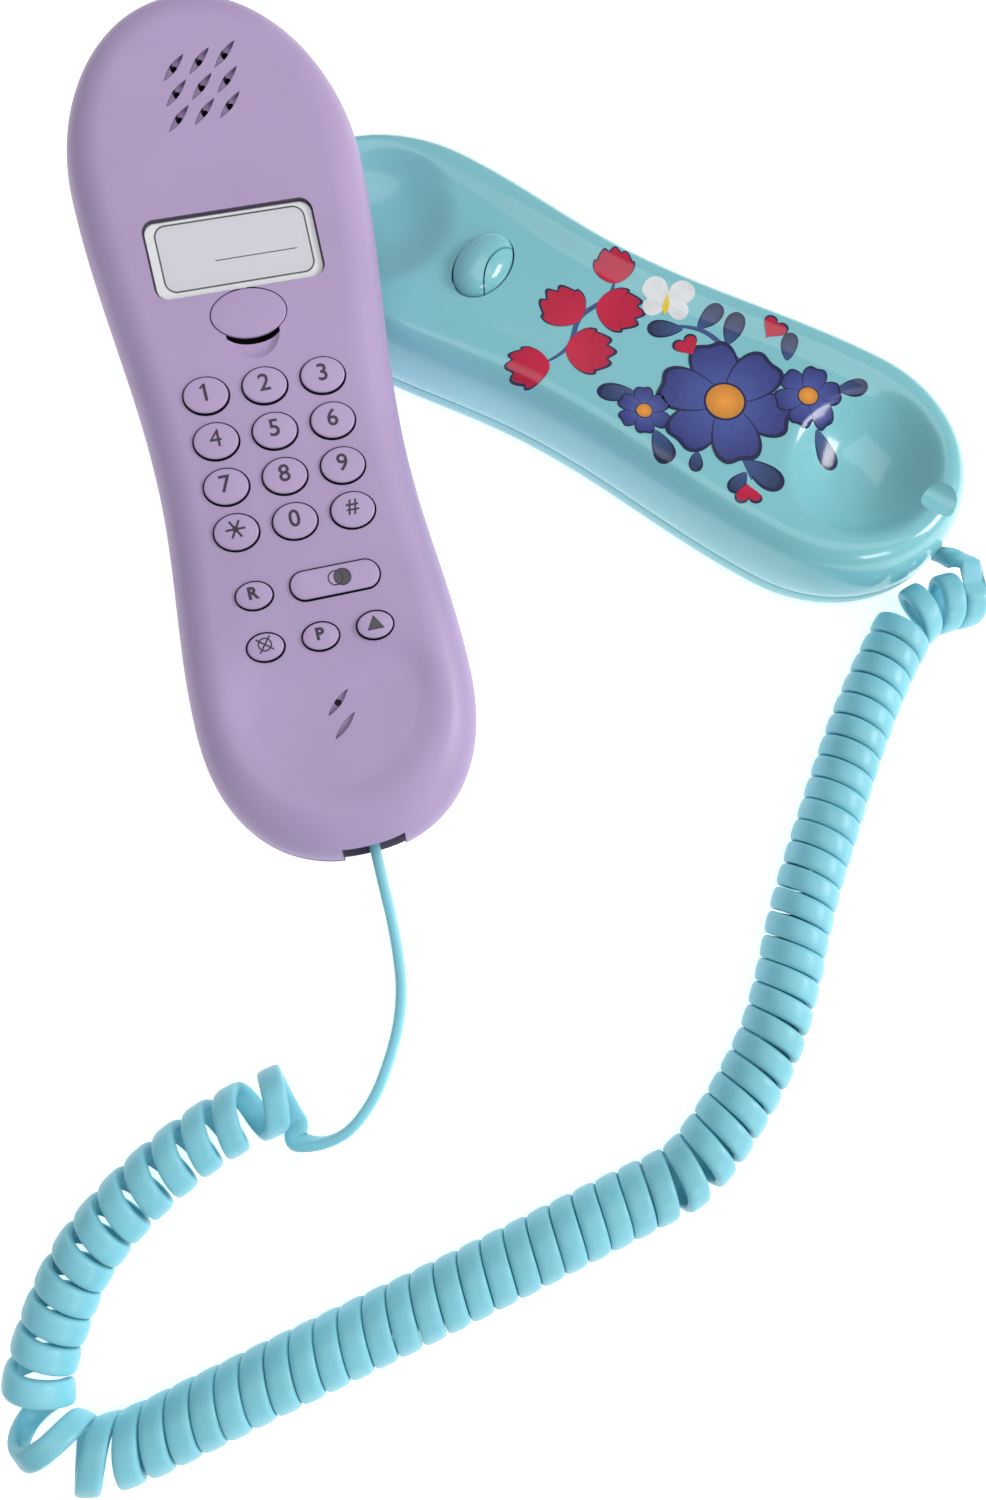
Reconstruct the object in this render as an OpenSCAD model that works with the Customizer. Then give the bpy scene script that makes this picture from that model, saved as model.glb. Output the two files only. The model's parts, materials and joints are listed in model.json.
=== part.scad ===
// Slim bedroom telephone: a handset with its keypad, a low cradle and a curly cord.
// The cradle stands on z = 0 and its long axis is X, with the ear end at -X.
// The handset is drawn in its own frame (x to the mouth end, z out of the face) and laid in place.

/* [Cradle] */
// Length of the cradle
cradle_len = 186; // [180:1:200]
// Half width at the ear end
cradle_ear_w = 29.5; // [28:0.5:32]
// Half width at the waist
cradle_waist_w = 26; // [25:0.5:28]
// Half width at the mouth end
cradle_mouth_w = 30.5; // [30:0.5:34]
// Height of the rim above the table
rim_h = 23.6; // [23:0.1:26]
// Height of the parting line between the two cradle shells
cradle_split_h = 8; // [7.5:0.1:8.5]
// Gap between the underside of the cradle and the table
base_clear = 1; // [0.8:0.1:1.4]
// Depth of the hollow for the mouthpiece
mouth_hollow_d = 8; // [4:0.5:9]
// Depth of the hollow for the earpiece
ear_hollow_d = 5; // [3:0.5:7]

/* [Shells] */
// Wall thickness of every plastic shell
wall = 2.2; // [1.8:0.1:2.6]
// Width of the seam between two shells
seam = 0.15; // [0.1:0.05:0.3]
// Clearance round moving pieces
run_gap = 0.35; // [0.3:0.05:0.5]
// Clearance round seated pieces
seat_gap = 0.2; // [0.1:0.05:0.3]

/* [Hook] */
// Width of the hook's oval along the cradle
hook_x = 12.6; // [11:0.2:14]
// Width of the hook's oval across the cradle
hook_y = 18.6; // [16:0.2:20]
// Height of the hook above the deck
hook_rise = 4.5; // [3:0.5:6]
// Travel of the hook plunger
hook_travel = 3; // [1:0.25:3]

/* [Handset] */
// Length of the handset
handset_len = 190; // [184:1:198]
// Half width at the ear end
handset_ear_w = 31.8; // [30:0.2:33]
// Half width at the waist
handset_waist_w = 27.6; // [27:0.2:30]
// Half width at the mouth end
handset_mouth_w = 30.8; // [30:0.2:33]
// Depth from the face to the parting line
face_depth = 11; // [10.5:0.25:12]
// Depth from the face to the back
handset_depth = 22; // [21:0.5:24]

/* [Keys] */
// Width of a number key
key_w = 9.4; // [8.4:0.1:10]
// Height of a number key
key_h = 7.7; // [7:0.1:8.2]
// Spacing of the key columns
key_col = 12.6; // [12:0.1:13]
// Spacing of the key rows
key_row = 9.97; // [9.6:0.05:10.4]
// Height of a key above the face
key_rise = 0.9; // [0.6:0.1:1.4]
// Travel of a key
key_travel = 1.2; // [0.6:0.1:1.2]

/* [Label] */
// Width of the label window
label_w = 36.6; // [30:0.2:38]
// Height of the label window
label_h = 17; // [13:0.2:17.4]

/* [Cord] */
// Width of the flat cord
cord_w = 4.8; // [3.6:0.1:4.9]
// Thickness of the flat cord
cord_t = 2.4; // [2:0.1:2.6]
// Outside diameter of the curls
curl_d = 14; // [13:0.5:14.5]
// Number of curls
curls = 65; // [56:1:66]

/* [Wall fixing] */
// Spacing of the two keyholes
keyhole_pitch = 83; // [80:0.5:85]
// Radius of a keyhole's round entry
keyhole_r = 4.2; // [3.8:0.1:4.6]
// Radius of a keyhole's narrow slot
keyslot_r = 2.2; // [1.8:0.1:2.6]

/* [Hidden] */
$fn = 40;

aqua = "#7cc6d2";
lilac = "#b7a3d0";

// ---- outlines -------------------------------------------------------------------------
// A peanut outline is set by stations along x: ear, waist and mouth, each with a half width,
// and by how square the mouth end is (2 is an ellipse). The ear and mouth stations keep their
// distance from their end.
cradle_half = cradle_len / 2;
handset_half = handset_len / 2;
cradle_ear_run = 37.7;
cradle_mouth_run = 34.4;
handset_ear_run = 38;
handset_mouth_run = 37;
cradle_st = [
    cradle_ear_run - cradle_half, cradle_ear_w, -5.5, cradle_waist_w,
    cradle_half - cradle_mouth_run, cradle_mouth_w, 2
];
handset_st = [
    handset_ear_run - handset_half, handset_ear_w, 7, handset_waist_w,
    handset_half - handset_mouth_run, handset_mouth_w, 2.3
];
outline_n = 60;

function ease(t) = t <= 0 ? 0 : t >= 1 ? 1 : 0.5 - 0.5 * cos(180 * t);
function round_end(t, e = 2) = pow(max(0, 1 - pow(abs(t), e)), 1 / e);

function half_width(x, half, st, i) =
    x <= st[0] ? (st[1] - i) * round_end((x - st[0]) / (st[0] + half))
    : x < st[2] ? st[1] - i + (st[3] - st[1]) * ease((x - st[0]) / (st[2] - st[0]))
    : x < st[4] ? st[3] - i + (st[5] - st[3]) * ease((x - st[2]) / (st[4] - st[2]))
    : (st[5] - i) * round_end((x - st[4]) / (half - st[4]), st[6]);

// The outline drawn in by i, counter-clockwise from the ear end
function outline(len, st, i, n = outline_n) = [
    for (k = [0:n - 1])
        let (a = 360 * (k + 0.5) / n, half = len / 2 - i, x = -half * cos(a))
        [x, (a < 180 ? -1 : 1) * half_width(x, half, st, i)]
];

// Height lost by a rounded edge of radius r and height h, at a distance i in from the wall
function edge_drop(i, r, h) = i >= r ? 0 : h * (1 - round_end(1 - i / r));

// A smooth hollow of depth d round [cx, 0], with half axes ax and ay
function hollow(x, y, cx, ax, ay, d) =
    let (q = sqrt(pow((x - cx) / ax, 2) + pow(y / ay, 2))) q >= 1 ? 0 : d * pow(1 - q * q * q, 2);

// A closed solid through a list of rings with the same number of points, capped across in y
module ring_solid(rings) {
    n = len(rings[0]);
    m = len(rings);
    sides = [
        for (j = [0:m - 2], k = [0:n - 1])
            let (a = j * n + k, b = j * n + (k + 1) % n) each [[a, a + n, b], [b, a + n, b + n]]
    ];
    first_cap = [
        for (k = [0:n / 2 - 2]) each [[k, k + 1, n - 1 - k], [k + 1, n - 2 - k, n - 1 - k]]
    ];
    o = (m - 1) * n;
    last_cap = [
        for (k = [0:n / 2 - 2])
            each [[o + k, o + n - 1 - k, o + k + 1], [o + k + 1, o + n - 1 - k, o + n - 2 - k]]
    ];
    polyhedron(points = [for (r = rings) each r], faces = concat(sides, first_cap, last_cap));
}

// The same rings from the last to the first, for a shell that opens upwards
function flipped(v) = [for (k = [len(v) - 1:-1:0]) v[k]];

function oval(w, h, n = 28) = [for (k = [0:n - 1]) [w / 2 * cos(360 * k / n), h / 2 * sin(360 * k / n)]];

// A low dome on an oval foot: rings drawn in as they rise
module dome(w, h, rise, foot) {
    steps = [0, 0.35, 0.62, 0.82, 0.95];
    rings = concat(
        [[for (p = oval(w, h)) [p[0], p[1], -foot]]],
        [for (s = steps) [for (p = oval(w, h)) [p[0] * sqrt(1 - s * s), p[1] * sqrt(1 - s * s), rise * s]]]
    );
    ring_solid(dome_order(rings));
}
// Turns each ring so that its points pair up across in y
function dome_order(rings) = [for (r = rings) [for (k = [0:len(r) - 1]) mid(r[k], r[(k + 1) % len(r)])]];
function mid(a, b) = (a + b) / 2;

// ---- cradle ---------------------------------------------------------------------------
ear_hollow_x = 27 - cradle_half;
mouth_hollow_x = cradle_half - 25.5;
ear_hollow_r = [22, 21];
mouth_hollow_r = [18, 20.5];
rim_in = 7.5;
deck_drop = 1.1;
rim_r = 6.5;
rim_edge = 13;

// Height of the cradle's top at a point that lies i in from the outline
function deck_z(x, y, i) =
    rim_h - edge_drop(i, rim_r, rim_edge) - deck_drop * ease((i - rim_in) / 6)
    - hollow(x, y, ear_hollow_x, ear_hollow_r[0], ear_hollow_r[1], ear_hollow_d)
    - hollow(x, y, mouth_hollow_x, mouth_hollow_r[0], mouth_hollow_r[1], mouth_hollow_d);

function deck_ring(i, off) = [
    for (p = outline(cradle_len, cradle_st, i + off)) [p[0], p[1], deck_z(p[0], p[1], i) - off]
];
function flat_ring(len, st, i, z) = [for (p = outline(len, st, i)) [p[0], p[1], z]];

// The cradle's bottom: edge rounded over bottom_r
bottom_r = 4;
function base_ring(i, off) = [
    for (p = outline(cradle_len, cradle_st, i + off))
        [p[0], p[1], base_clear + off + edge_drop(i, bottom_r, 4.5)]
];

hook_at = [-34.6, 0.6];
deck_top = rim_h - deck_drop;
deck_under = deck_top - wall;
// Lower end of the hook plunger's stem
stem_end = deck_under - 5;

screw_r = 1.2;
screw_head_r = 2.9;
screw_head_h = 2;
boss_r = 3.4;
screw_grip = 8;
base_screw_ear = [43 - cradle_half, 19];
base_screw_mouth = [cradle_half - 45, 19.5];
base_screw_at = [for (p = [base_screw_ear, base_screw_mouth], s = [1, -1]) [p[0], s * p[1]]];
head_seat_z = 4.6;

foot_r = 5;
foot_sink = 0.7;
foot_set = 17;
foot_at = [
    for (p = [[foot_set - cradle_half, 11], [cradle_half - foot_set, 13]], s = [1, -1])
        [p[0], s * p[1]]
];

ringer_at = 20 - cradle_half;
ringer_r = 10;
keyhole_x = -50;
keyslot_len = 8;
land_half = 10;

jack_z = 7.4;
cord_jack_y = -3;
line_jack_y = 9;
jack_front = cradle_half - 6;
jack_depth = 12;
cord_jack_open = [7, 8.2];
line_jack_open = [9.8, 6.8];
jack_wall = 1.3;
jack_floor = 0.1;

pcb_t = 1.6;
base_pcb_z = 5;
base_pcb_x = [-44, 18];
base_pcb_half = 15;
post_at = [[-41, 12], [-41, -12], [14, 12], [14, -12]];

module at_cord_jack() { translate([jack_front, cord_jack_y, jack_z]) children(); }
module at_line_jack() { translate([jack_front, line_jack_y, jack_z]) children(); }

// Opening through the end wall in front of a socket, and the pocket that the socket sits in
module socket_room(open) {
    translate([-1, -open[0] / 2 - 0.4, -open[1] / 2 - 0.4]) cube([12, open[0] + 0.8, open[1] + 0.8]);
    translate([-jack_depth - seat_gap, -open[0] / 2 - jack_wall - seat_gap, -open[1] / 2 - jack_floor])
        cube([
            jack_depth + 2 * seat_gap, open[0] + 2 * jack_wall + 2 * seat_gap,
            open[1] + jack_floor + jack_wall + seat_gap
        ]);
}
module end_openings() {
    at_cord_jack() socket_room(cord_jack_open);
    at_line_jack() socket_room(line_jack_open);
}

module hook_oval(grow) { polygon(oval(hook_x + 2 * grow, hook_y + 2 * grow)); }

module cradle_top_shell() {
    color(aqua) difference() {
        union() {
            ring_solid(concat(
                [for (i = [19.5, 15, 11, 7.5, 4.3]) deck_ring(i, wall)],
                [for (i = [1.6, 0.3]) deck_ring(i, wall)],
                [flat_ring(cradle_len, cradle_st, wall, cradle_split_h)],
                [flat_ring(cradle_len, cradle_st, 0, cradle_split_h)],
                [for (i = [0, 0.4, 1.3, 2.8, 4.8, 7.5, 10, 12.5, 15.5, 19, 22.5]) deck_ring(i, 0)]
            ));
            for (p = base_screw_at)
                translate([p[0], p[1], cradle_split_h + 0.6])
                    cylinder(r = boss_r, h = deck_under - cradle_split_h + 0.4);
        }
        translate([hook_at[0], hook_at[1], deck_under - 5])
            linear_extrude(wall + 12) hook_oval(run_gap);
        for (p = base_screw_at)
            translate([p[0], p[1], 0]) cylinder(r = screw_r + 0.05, h = head_seat_z + screw_grip + 0.6);
        end_openings();
        // relief in the rim for the handset's cord
        translate([cradle_half - 6, 0, rim_h + 2.2]) rotate([0, 90, 0])
            cylinder(r = 4.4, h = 16, center = true);
    }
}

module keyhole(x) {
    translate([x, 0, -1]) cylinder(r = keyhole_r, h = 8);
    translate([x - keyslot_len, 0, -1]) cylinder(r = keyslot_r, h = 8);
    translate([x - keyslot_len, -keyslot_r, -1]) cube([keyslot_len, 2 * keyslot_r, 8]);
}

module cradle_bottom_shell() {
    top = cradle_split_h - seam;
    color(aqua) difference() {
        union() {
            ring_solid(flipped(concat(
                [for (i = [16, 3.5, 1, 0.2]) base_ring(i, wall)],
                [flat_ring(cradle_len, cradle_st, wall, top)],
                [flat_ring(cradle_len, cradle_st, 0, top)],
                [for (i = [0, 0.4, 1.5, 4, 18]) base_ring(i, 0)]
            )));
            // land that lies flush with the feet, round the keyholes
            translate([keyhole_x - keyslot_len - 5, -land_half, 0])
                cube([keyhole_pitch + keyslot_len + 11, 2 * land_half, base_clear + wall / 2]);
            for (p = base_screw_at)
                translate([p[0], p[1], base_clear + 0.5])
                    cylinder(r = boss_r + 0.8, h = top - base_clear - 0.2);
            for (p = post_at)
                translate([p[0], p[1], base_clear + 0.5])
                    cylinder(r = 2, h = base_pcb_z - base_clear - 0.5);
        }
        for (p = base_screw_at) {
            translate([p[0], p[1], -1]) cylinder(r = screw_head_r + seat_gap, h = head_seat_z + 1);
            translate([p[0], p[1], 0]) cylinder(r = screw_r + 0.4, h = 12);
        }
        for (p = foot_at)
            translate([p[0], p[1], -1]) cylinder(r = foot_r + seat_gap, h = 1 + base_clear + foot_sink);
        for (x = [keyhole_x, keyhole_x + keyhole_pitch]) keyhole(x);
        // sound slots under the ringer
        for (k = [-1:1])
            translate([ringer_at + 4 * k, 0, 0]) cube([1.6, 10, 12], center = true);
        end_openings();
    }
}

tab_split_r = 11;
hook_flange = 1.6;
module tab_zone(grow) {
    translate([hook_at[0] + 2.2 + tab_split_r + grow, hook_at[1], -5])
        cylinder(r = tab_split_r, h = 60);
}

// The sprung part of the hook that the hung-up handset presses down
module hook_plunger() {
    color(aqua) difference() {
        union() {
            translate([hook_at[0], hook_at[1], deck_top])
                dome(hook_x, hook_y, hook_rise, deck_top - stem_end);
            // stop flange under the deck, on the ear side only
            intersection() {
                translate([hook_at[0], hook_at[1], deck_under - run_gap - hook_flange])
                    linear_extrude(hook_flange) hook_oval(1.8);
                translate([hook_at[0] - 20, hook_at[1] - 20, 0]) cube([18, 40, 40]);
            }
        }
        tab_zone(-run_gap);
    }
}

// The fixed crescent of the hook that holds the handset when the phone hangs on a wall
module hanger_tab() {
    color(aqua) intersection() {
        union() {
            translate([hook_at[0], hook_at[1], deck_top])
                dome(hook_x, hook_y, hook_rise - 0.4, deck_top - deck_under + 4);
            intersection() {
                translate([hook_at[0], hook_at[1], deck_under - seat_gap - hook_flange])
                    linear_extrude(hook_flange) hook_oval(3);
                translate([hook_at[0] + 3.5, hook_at[1] - 20, 0]) cube([20, 40, 40]);
            }
        }
        tab_zone(0);
    }
}

spring_r = 3;
spring_x = hook_at[0] - 2;
module hook_spring() {
    h = stem_end - base_pcb_z - pcb_t;
    color("silver") translate([spring_x, hook_at[1], base_pcb_z + pcb_t]) difference() {
        cylinder(r = spring_r, h = h - 0.05);
        translate([0, 0, -1]) cylinder(r = spring_r - 0.6, h = h + 2);
    }
}

// The switch's button lies under the plunger's edge, just below the end of its travel
switch_size = [7, 13];
switch_button = 0.8;
switch_top = stem_end - hook_travel - run_gap;
module hook_switch() {
    h = switch_top - switch_button - base_pcb_z - pcb_t;
    color("#303038") translate([hook_at[0] + 1.8, hook_at[1] - switch_size[1] / 2, base_pcb_z + pcb_t]) {
        cube([switch_size[0], switch_size[1], h]);
        translate([0.6, 1, h]) cube([3, 11, switch_button]);
    }
}

module base_pcb() {
    color("#2f6b3c") translate([base_pcb_x[0], -base_pcb_half, base_pcb_z])
        cube([base_pcb_x[1] - base_pcb_x[0], 2 * base_pcb_half, pcb_t]);
    color("#303038") translate([-4, -8, base_pcb_z + pcb_t]) cube([10, 8, 2.4]);
    color("#303038") translate([-4, 4, base_pcb_z + pcb_t]) cube([6, 6, 3.4]);
}

module ringer() {
    color("#c9a14a") translate([ringer_at, 0, base_clear + wall + 0.1]) {
        cylinder(r = ringer_r, h = 1.2);
        cylinder(r = ringer_r - 3, h = 2.4);
    }
}

// A modular socket: a block with its mouth at x = 0 and its floor behind
module socket(open_y, open_z) {
    color("#2b2b30") difference() {
        translate([-jack_depth, -open_y / 2 - jack_wall, -open_z / 2 - jack_floor])
            cube([jack_depth, open_y + 2 * jack_wall, open_z + jack_floor + jack_wall]);
        translate([-jack_depth + 1.5, -open_y / 2, -open_z / 2]) cube([jack_depth, open_y, open_z]);
    }
}
module base_cord_jack() { at_cord_jack() socket(cord_jack_open[0], cord_jack_open[1]); }
module line_jack() { at_line_jack() socket(line_jack_open[0], line_jack_open[1]); }

base_weight_x = cradle_half - 49;
base_weight_size = [20, 24, 4.5];
module base_weight() {
    color("#8a8a8e") translate([base_weight_x, -base_weight_size[1] / 2, base_clear + wall])
        cube(base_weight_size);
}

module rubber_feet() {
    color("#4a4a4d") for (p = foot_at)
        translate([p[0], p[1], 0]) cylinder(r = foot_r, h = base_clear + foot_sink);
}

// A pan-head screw, head down at z = 0, with a cross recess
module screw(grip) {
    difference() {
        union() {
            cylinder(r = screw_head_r, h = screw_head_h);
            cylinder(r = screw_r, h = screw_head_h + grip);
        }
        for (a = [0, 90])
            rotate([0, 0, a]) translate([-1.7, -0.35, -1]) cube([3.4, 0.7, 1.9]);
    }
}
module base_screws() {
    color("#b8bcc0") for (p = base_screw_at)
        translate([p[0], p[1], head_seat_z - screw_head_h]) screw(screw_grip);
}

// A modular plug with its cord end at x = 0, reaching back to -plug_len, with its latch in -y
plug_len = 11;
plug_y = 5;
plug_z = 7.6;
module plug() {
    translate([-plug_len, -plug_y / 2 + 0.6, -plug_z / 2]) cube([plug_len, plug_y, plug_z]);
    translate([-plug_len + 1, -plug_y / 2 - 0.6, -1.6]) cube([plug_len - 3, 1.2, 3.2]);
}
plug_out = 0.6;
module base_plug() {
    color("#d8e4e8") at_cord_jack() translate([plug_out, 0, 0]) plug();
}

// ---- cord -----------------------------------------------------------------------------
cord_z = curl_d / 2 + 0.05;
helix_r = (curl_d - cord_t) / 2;
curl_rings = 8;

// Axis of the curls on the table, from the cradle's side to the handset's side
coil_route = [
    [103.9, -9.6], [101, -12.6], [97.4, -16.6], [95, -22.4], [94.8, -28.3], [95, -37],
    [96, -49], [97.8, -62], [99.8, -74], [102.2, -88], [104.6, -99], [107.6, -110], [110, -122],
    [110.4, -134], [109.5, -146], [107.2, -156], [102, -164], [94, -175.5], [85, -188.7],
    [75, -203], [65, -217], [55, -231], [45.5, -244.5], [37, -256], [29.5, -262],
    [20.5, -262], [14.5, -255.5], [11, -245.5], [9.1, -235], [9.7, -225], [12.4, -213.5],
    [16.3, -203], [20.8, -194.5], [26, -187]
];
// Flat lead from the cradle's socket to the first curl
base_lead_route = [
    [95.3, -3.5, 9.1], [98.1, -4.1, 11.5]
];
// Flat lead from the last curl to the handset's socket
handset_lead_route = [
    [33.8, -192.4, 2.5], [38.8, -190, 2.6], [42.3, -184.8, 2.55], [43.2, -177, 2.55],
    [42, -169, 2.55], [39.6, -161, 2.55], [36, -154, 2.6], [31.4, -148, 2.8],
    [26.4, -142.4, 3.5], [21.9, -137.8, 4.9]
];

function unit(v) = v / norm(v);
function blend(a, b, t) = a + (b - a) * t;

// A smooth curve through the points, with n steps between each pair
function through(p, n) =
    let (m = len(p))
    concat(
        [
            for (j = [0:m - 2], k = [0:n - 1])
                let (
                    a = j > 0 ? p[j - 1] : 2 * p[0] - p[1], b = p[j], c = p[j + 1],
                    d = j < m - 2 ? p[j + 2] : 2 * p[m - 1] - p[m - 2], t = k / n
                )
                0.5 * (2 * b + (c - a) * t + (2 * a - 5 * b + 4 * c - d) * t * t
                    + (3 * b - a - 3 * c + d) * t * t * t)
        ],
        [p[m - 1]]
    );

// Running totals of a list
function totals(v, i = 0, sum = 0, out = [0]) =
    i == len(v) ? out : totals(v, i + 1, sum + v[i], concat(out, [sum + v[i]]));

axis_pts = through(coil_route, 8);
axis_n = len(axis_pts);
// The curls' direction is taken over a few steps either way, so that they fan gently in a bend
dir_reach = 4;
function axis_dir(i) =
    unit(axis_pts[min(axis_n - 1, i + dir_reach)] - axis_pts[max(0, i - dir_reach)]);
// Turn of the axis per millimetre near step i, in radians
function axis_bend(i) =
    let (a = axis_dir(max(0, i - 3)), b = axis_dir(min(axis_n - 1, i + 3)),
         run = norm(axis_pts[min(axis_n - 1, i + 3)] - axis_pts[max(0, i - 3)]))
    acos(min(1, a * b)) * PI / 180 / run;
// On their way to the handset, from this point of the route on, the curls stand further apart
pulled_from = 28;
pulled_apart = 0.17;
function pulled(i) = 1 - pulled_apart * ease((i / 8 - pulled_from) / 2);
// The curls keep their distance on the inside of a bend, so they open up on its outside
phase_steps = [
    for (i = [0:axis_n - 2])
        norm(axis_pts[i + 1] - axis_pts[i]) * pulled(i)
            * max(0.3, 1 - (helix_r + cord_t / 3) * axis_bend(i))
];
phase_raw = totals(phase_steps);
phase_max = phase_raw[axis_n - 1];
inner_pitch = phase_max / curls;
// Half a curl more takes the cord from the top of the first curl to the bottom of the last
curl_turns = curls - 0.5;
at_phase = [for (i = [0:axis_n - 1]) [phase_raw[i] / phase_max * curl_turns, i]];

function axis_at(f) =
    let (i = min(axis_n - 2, floor(f)), t = f - i) blend(axis_pts[i], axis_pts[i + 1], t);
function axis_dir_at(f) =
    let (i = min(axis_n - 2, floor(f)), t = f - i) unit(blend(axis_dir(i), axis_dir(i + 1), t));

// The last curl leans forward where it passes over the top
function end_lean(turns) = let (t = turns - curl_turns + 1) t <= 0 ? 0 : 4 * pow(sin(180 * t), 2);

// Centre of the cord, its radial direction and the axis direction at a number of turns
function curl_frame(turns) =
    let (
        f = lookup(turns, at_phase), c = axis_at(f), d = axis_dir_at(f), a = 90 - 360 * turns,
        radial = [-d[1] * cos(a), d[0] * cos(a), sin(a)]
    )
    [[c[0], c[1], cord_z] + helix_r * radial + end_lean(turns) * [d[0], d[1], 0], radial, [d[0], d[1], 0]];

curl_frames = [for (k = [0:curl_turns * curl_rings]) curl_frame(k / curl_rings)];

// Six-sided section of the flat cord: wide is across, thin is through the cord
function section(c, wide, thin, w, t) = [
    c + wide * w / 2, c + wide * w * 0.32 + thin * t / 2, c - wide * w * 0.32 + thin * t / 2,
    c - wide * w / 2, c - wide * w * 0.32 - thin * t / 2, c + wide * w * 0.32 - thin * t / 2
];
// The wide direction stands square to the cord's own run, which climbs along the axis
function curl_section(k) =
    let (
        f = curl_frames[k], a = curl_frames[max(0, k - 1)][0],
        b = curl_frames[min(len(curl_frames) - 1, k + 1)][0],
        run = unit(b - a), thin = unit(f[1] - run * (f[1] * run)), wide = cross(run, thin)
    )
    section(f[0], wide, thin, cord_w, cord_t);

// A tube with the same small outline at every ring, closed at both ends
module tube(rings) {
    n = len(rings[0]);
    m = len(rings);
    sides = [
        for (j = [0:m - 2], k = [0:n - 1])
            let (a = j * n + k, b = j * n + (k + 1) % n) each [[a, b, a + n], [b, b + n, a + n]]
    ];
    caps = concat(
        [for (k = [1:n - 2]) [0, k + 1, k]],
        [for (k = [1:n - 2]) [(m - 1) * n, (m - 1) * n + k, (m - 1) * n + k + 1]]
    );
    polyhedron(points = [for (r = rings) each r], faces = concat(sides, caps));
}

// Straight stubs at both ends of the curls, one cord width long
last = len(curl_frames) - 1;
up = [0, 0, 1];
first_curl = curl_frames[0][0];
last_curl = curl_frames[last][0];
function level(v) = unit([v[0], v[1], 0]);
start_run = level(curl_frames[1][0] - first_curl);
end_run = level(last_curl - curl_frames[last - 1][0]);
coil_start = first_curl - start_run * cord_w;
coil_end = last_curl + end_run * cord_w;
stub_steps = [1, 0.15];
coil_rings = concat(
    [
        for (s = stub_steps)
            section(first_curl - start_run * cord_w * s, cross(start_run, up), up, cord_w, cord_t)
    ],
    [for (k = [1:last - 1]) curl_section(k)],
    [
        for (s = flipped(stub_steps))
            section(last_curl + end_run * cord_w * s, cross(end_run, -up), -up, cord_w, cord_t)
    ]
);

// Least gap between the surface points of neighbouring curls
curl_gap = min([
    for (k = [1:last - 12], s = [5:11], p = coil_rings[k + 1], q = coil_rings[k + 1 + s]) norm(p - q)
]);
echo(least_curl_gap = curl_gap, inner_pitch = inner_pitch);

module cord_coil() { color("#79c3d2") tube(coil_rings); }

// A flat lead through points, its wide direction turning from wide_a to wide_b over its first part
function lead_rings(pts, wide_a, wide_b, from, to) = [
    for (k = [0:len(pts) - 1])
        let (
            run = unit(pts[min(len(pts) - 1, k + 1)] - pts[max(0, k - 1)]),
            w = blend(wide_a, wide_b, ease((k / (len(pts) - 1) - from) / (to - from))),
            wide = unit(w - run * (w * run))
        )
        section(pts[k], wide, cross(wide, run), cord_w, cord_t)
];
module cord_base_lead() {
    start = [jack_front + plug_out, cord_jack_y, jack_z];
    route = concat([start + [cord_w, 0, 0]], base_lead_route, [coil_start - start_run * 1.6]);
    pts = concat([start], through(route, 3), [coil_start]);
    color("#79c3d2") tube(lead_rings(pts, up, cross(start_run, up), 0.1, 0.85));
}
module cord_handset_lead() {
    far = handset_point([handset_plug_x, handset_jack_y, handset_jack_z]);
    near = handset_point([handset_plug_x + cord_w, handset_jack_y, handset_jack_z]);
    route = concat(
        [coil_end + end_run * 0.8, coil_end + end_run * 1.8 + [0, 0, 0.12]], handset_lead_route, [near]
    );
    pts = concat([coil_end], through(route, 3), [far]);
    color("#79c3d2") tube(lead_rings(pts, cross(end_run, -up), -up, 0.06, 0.34));
}

// ---- handset --------------------------------------------------------------------------
// It leans on the cradle's rim with its mouth end on the table: a higher rim or a deeper
// handset lifts it. rest_run is the distance between the two contacts.
rest_run = 122;
// Distance from the handset's origin to the edge that stands on the table
rest_reach = handset_half - 2;
// How far the back's rounding lets the handset sink below its full depth there
rest_sink = 5.041;
handset_yaw = -46.4;
// Tilt on a rim of the height named here
rest_tilt = 12.95;
rest_rim_h = 23.6;
handset_tilt = rest_tilt + atan((rim_h - rest_rim_h) / rest_run);
handset_roll = -4;
handset_at = [-46.8, -66.8, rest_reach * sin(handset_tilt) + handset_depth - rest_sink];
module in_handset() {
    translate(handset_at) rotate([handset_roll, handset_tilt, handset_yaw]) children();
}
function turn_z(v, a) = [v[0] * cos(a) - v[1] * sin(a), v[0] * sin(a) + v[1] * cos(a), v[2]];
function turn_y(v, a) = [v[0] * cos(a) + v[2] * sin(a), v[1], -v[0] * sin(a) + v[2] * cos(a)];
function turn_x(v, a) = [v[0], v[1] * cos(a) - v[2] * sin(a), v[1] * sin(a) + v[2] * cos(a)];
function handset_point(v) =
    handset_at + turn_z(turn_y(turn_x(v, handset_roll), handset_tilt), handset_yaw);

// The face is hollow along its length and the back bows out
face_mid = 9.5;
face_bow = 0.0006;
back_bow = 0.0004;
mouth_dish_x = handset_half - 35;
mouth_dish_r = [27, 26];
mouth_dish_d = 1.3;
function face_z(x) = face_bow * pow(x - face_mid, 2);
function face_surface(x, y) =
    face_z(x) - hollow(x, y, mouth_dish_x, mouth_dish_r[0], mouth_dish_r[1], mouth_dish_d);
function split_z(x) = -face_depth + face_z(x) / 2;
function back_z(x) = -handset_depth + back_bow * x * x;
// The edge is rounded wider at the mouth end
mouth_round_run = 45;
face_edge = 8.5;
function face_r(x) = face_edge + 6 * ease((x - handset_half + mouth_round_run) / mouth_round_run);
back_r = 12;
back_edge = 9;

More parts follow.
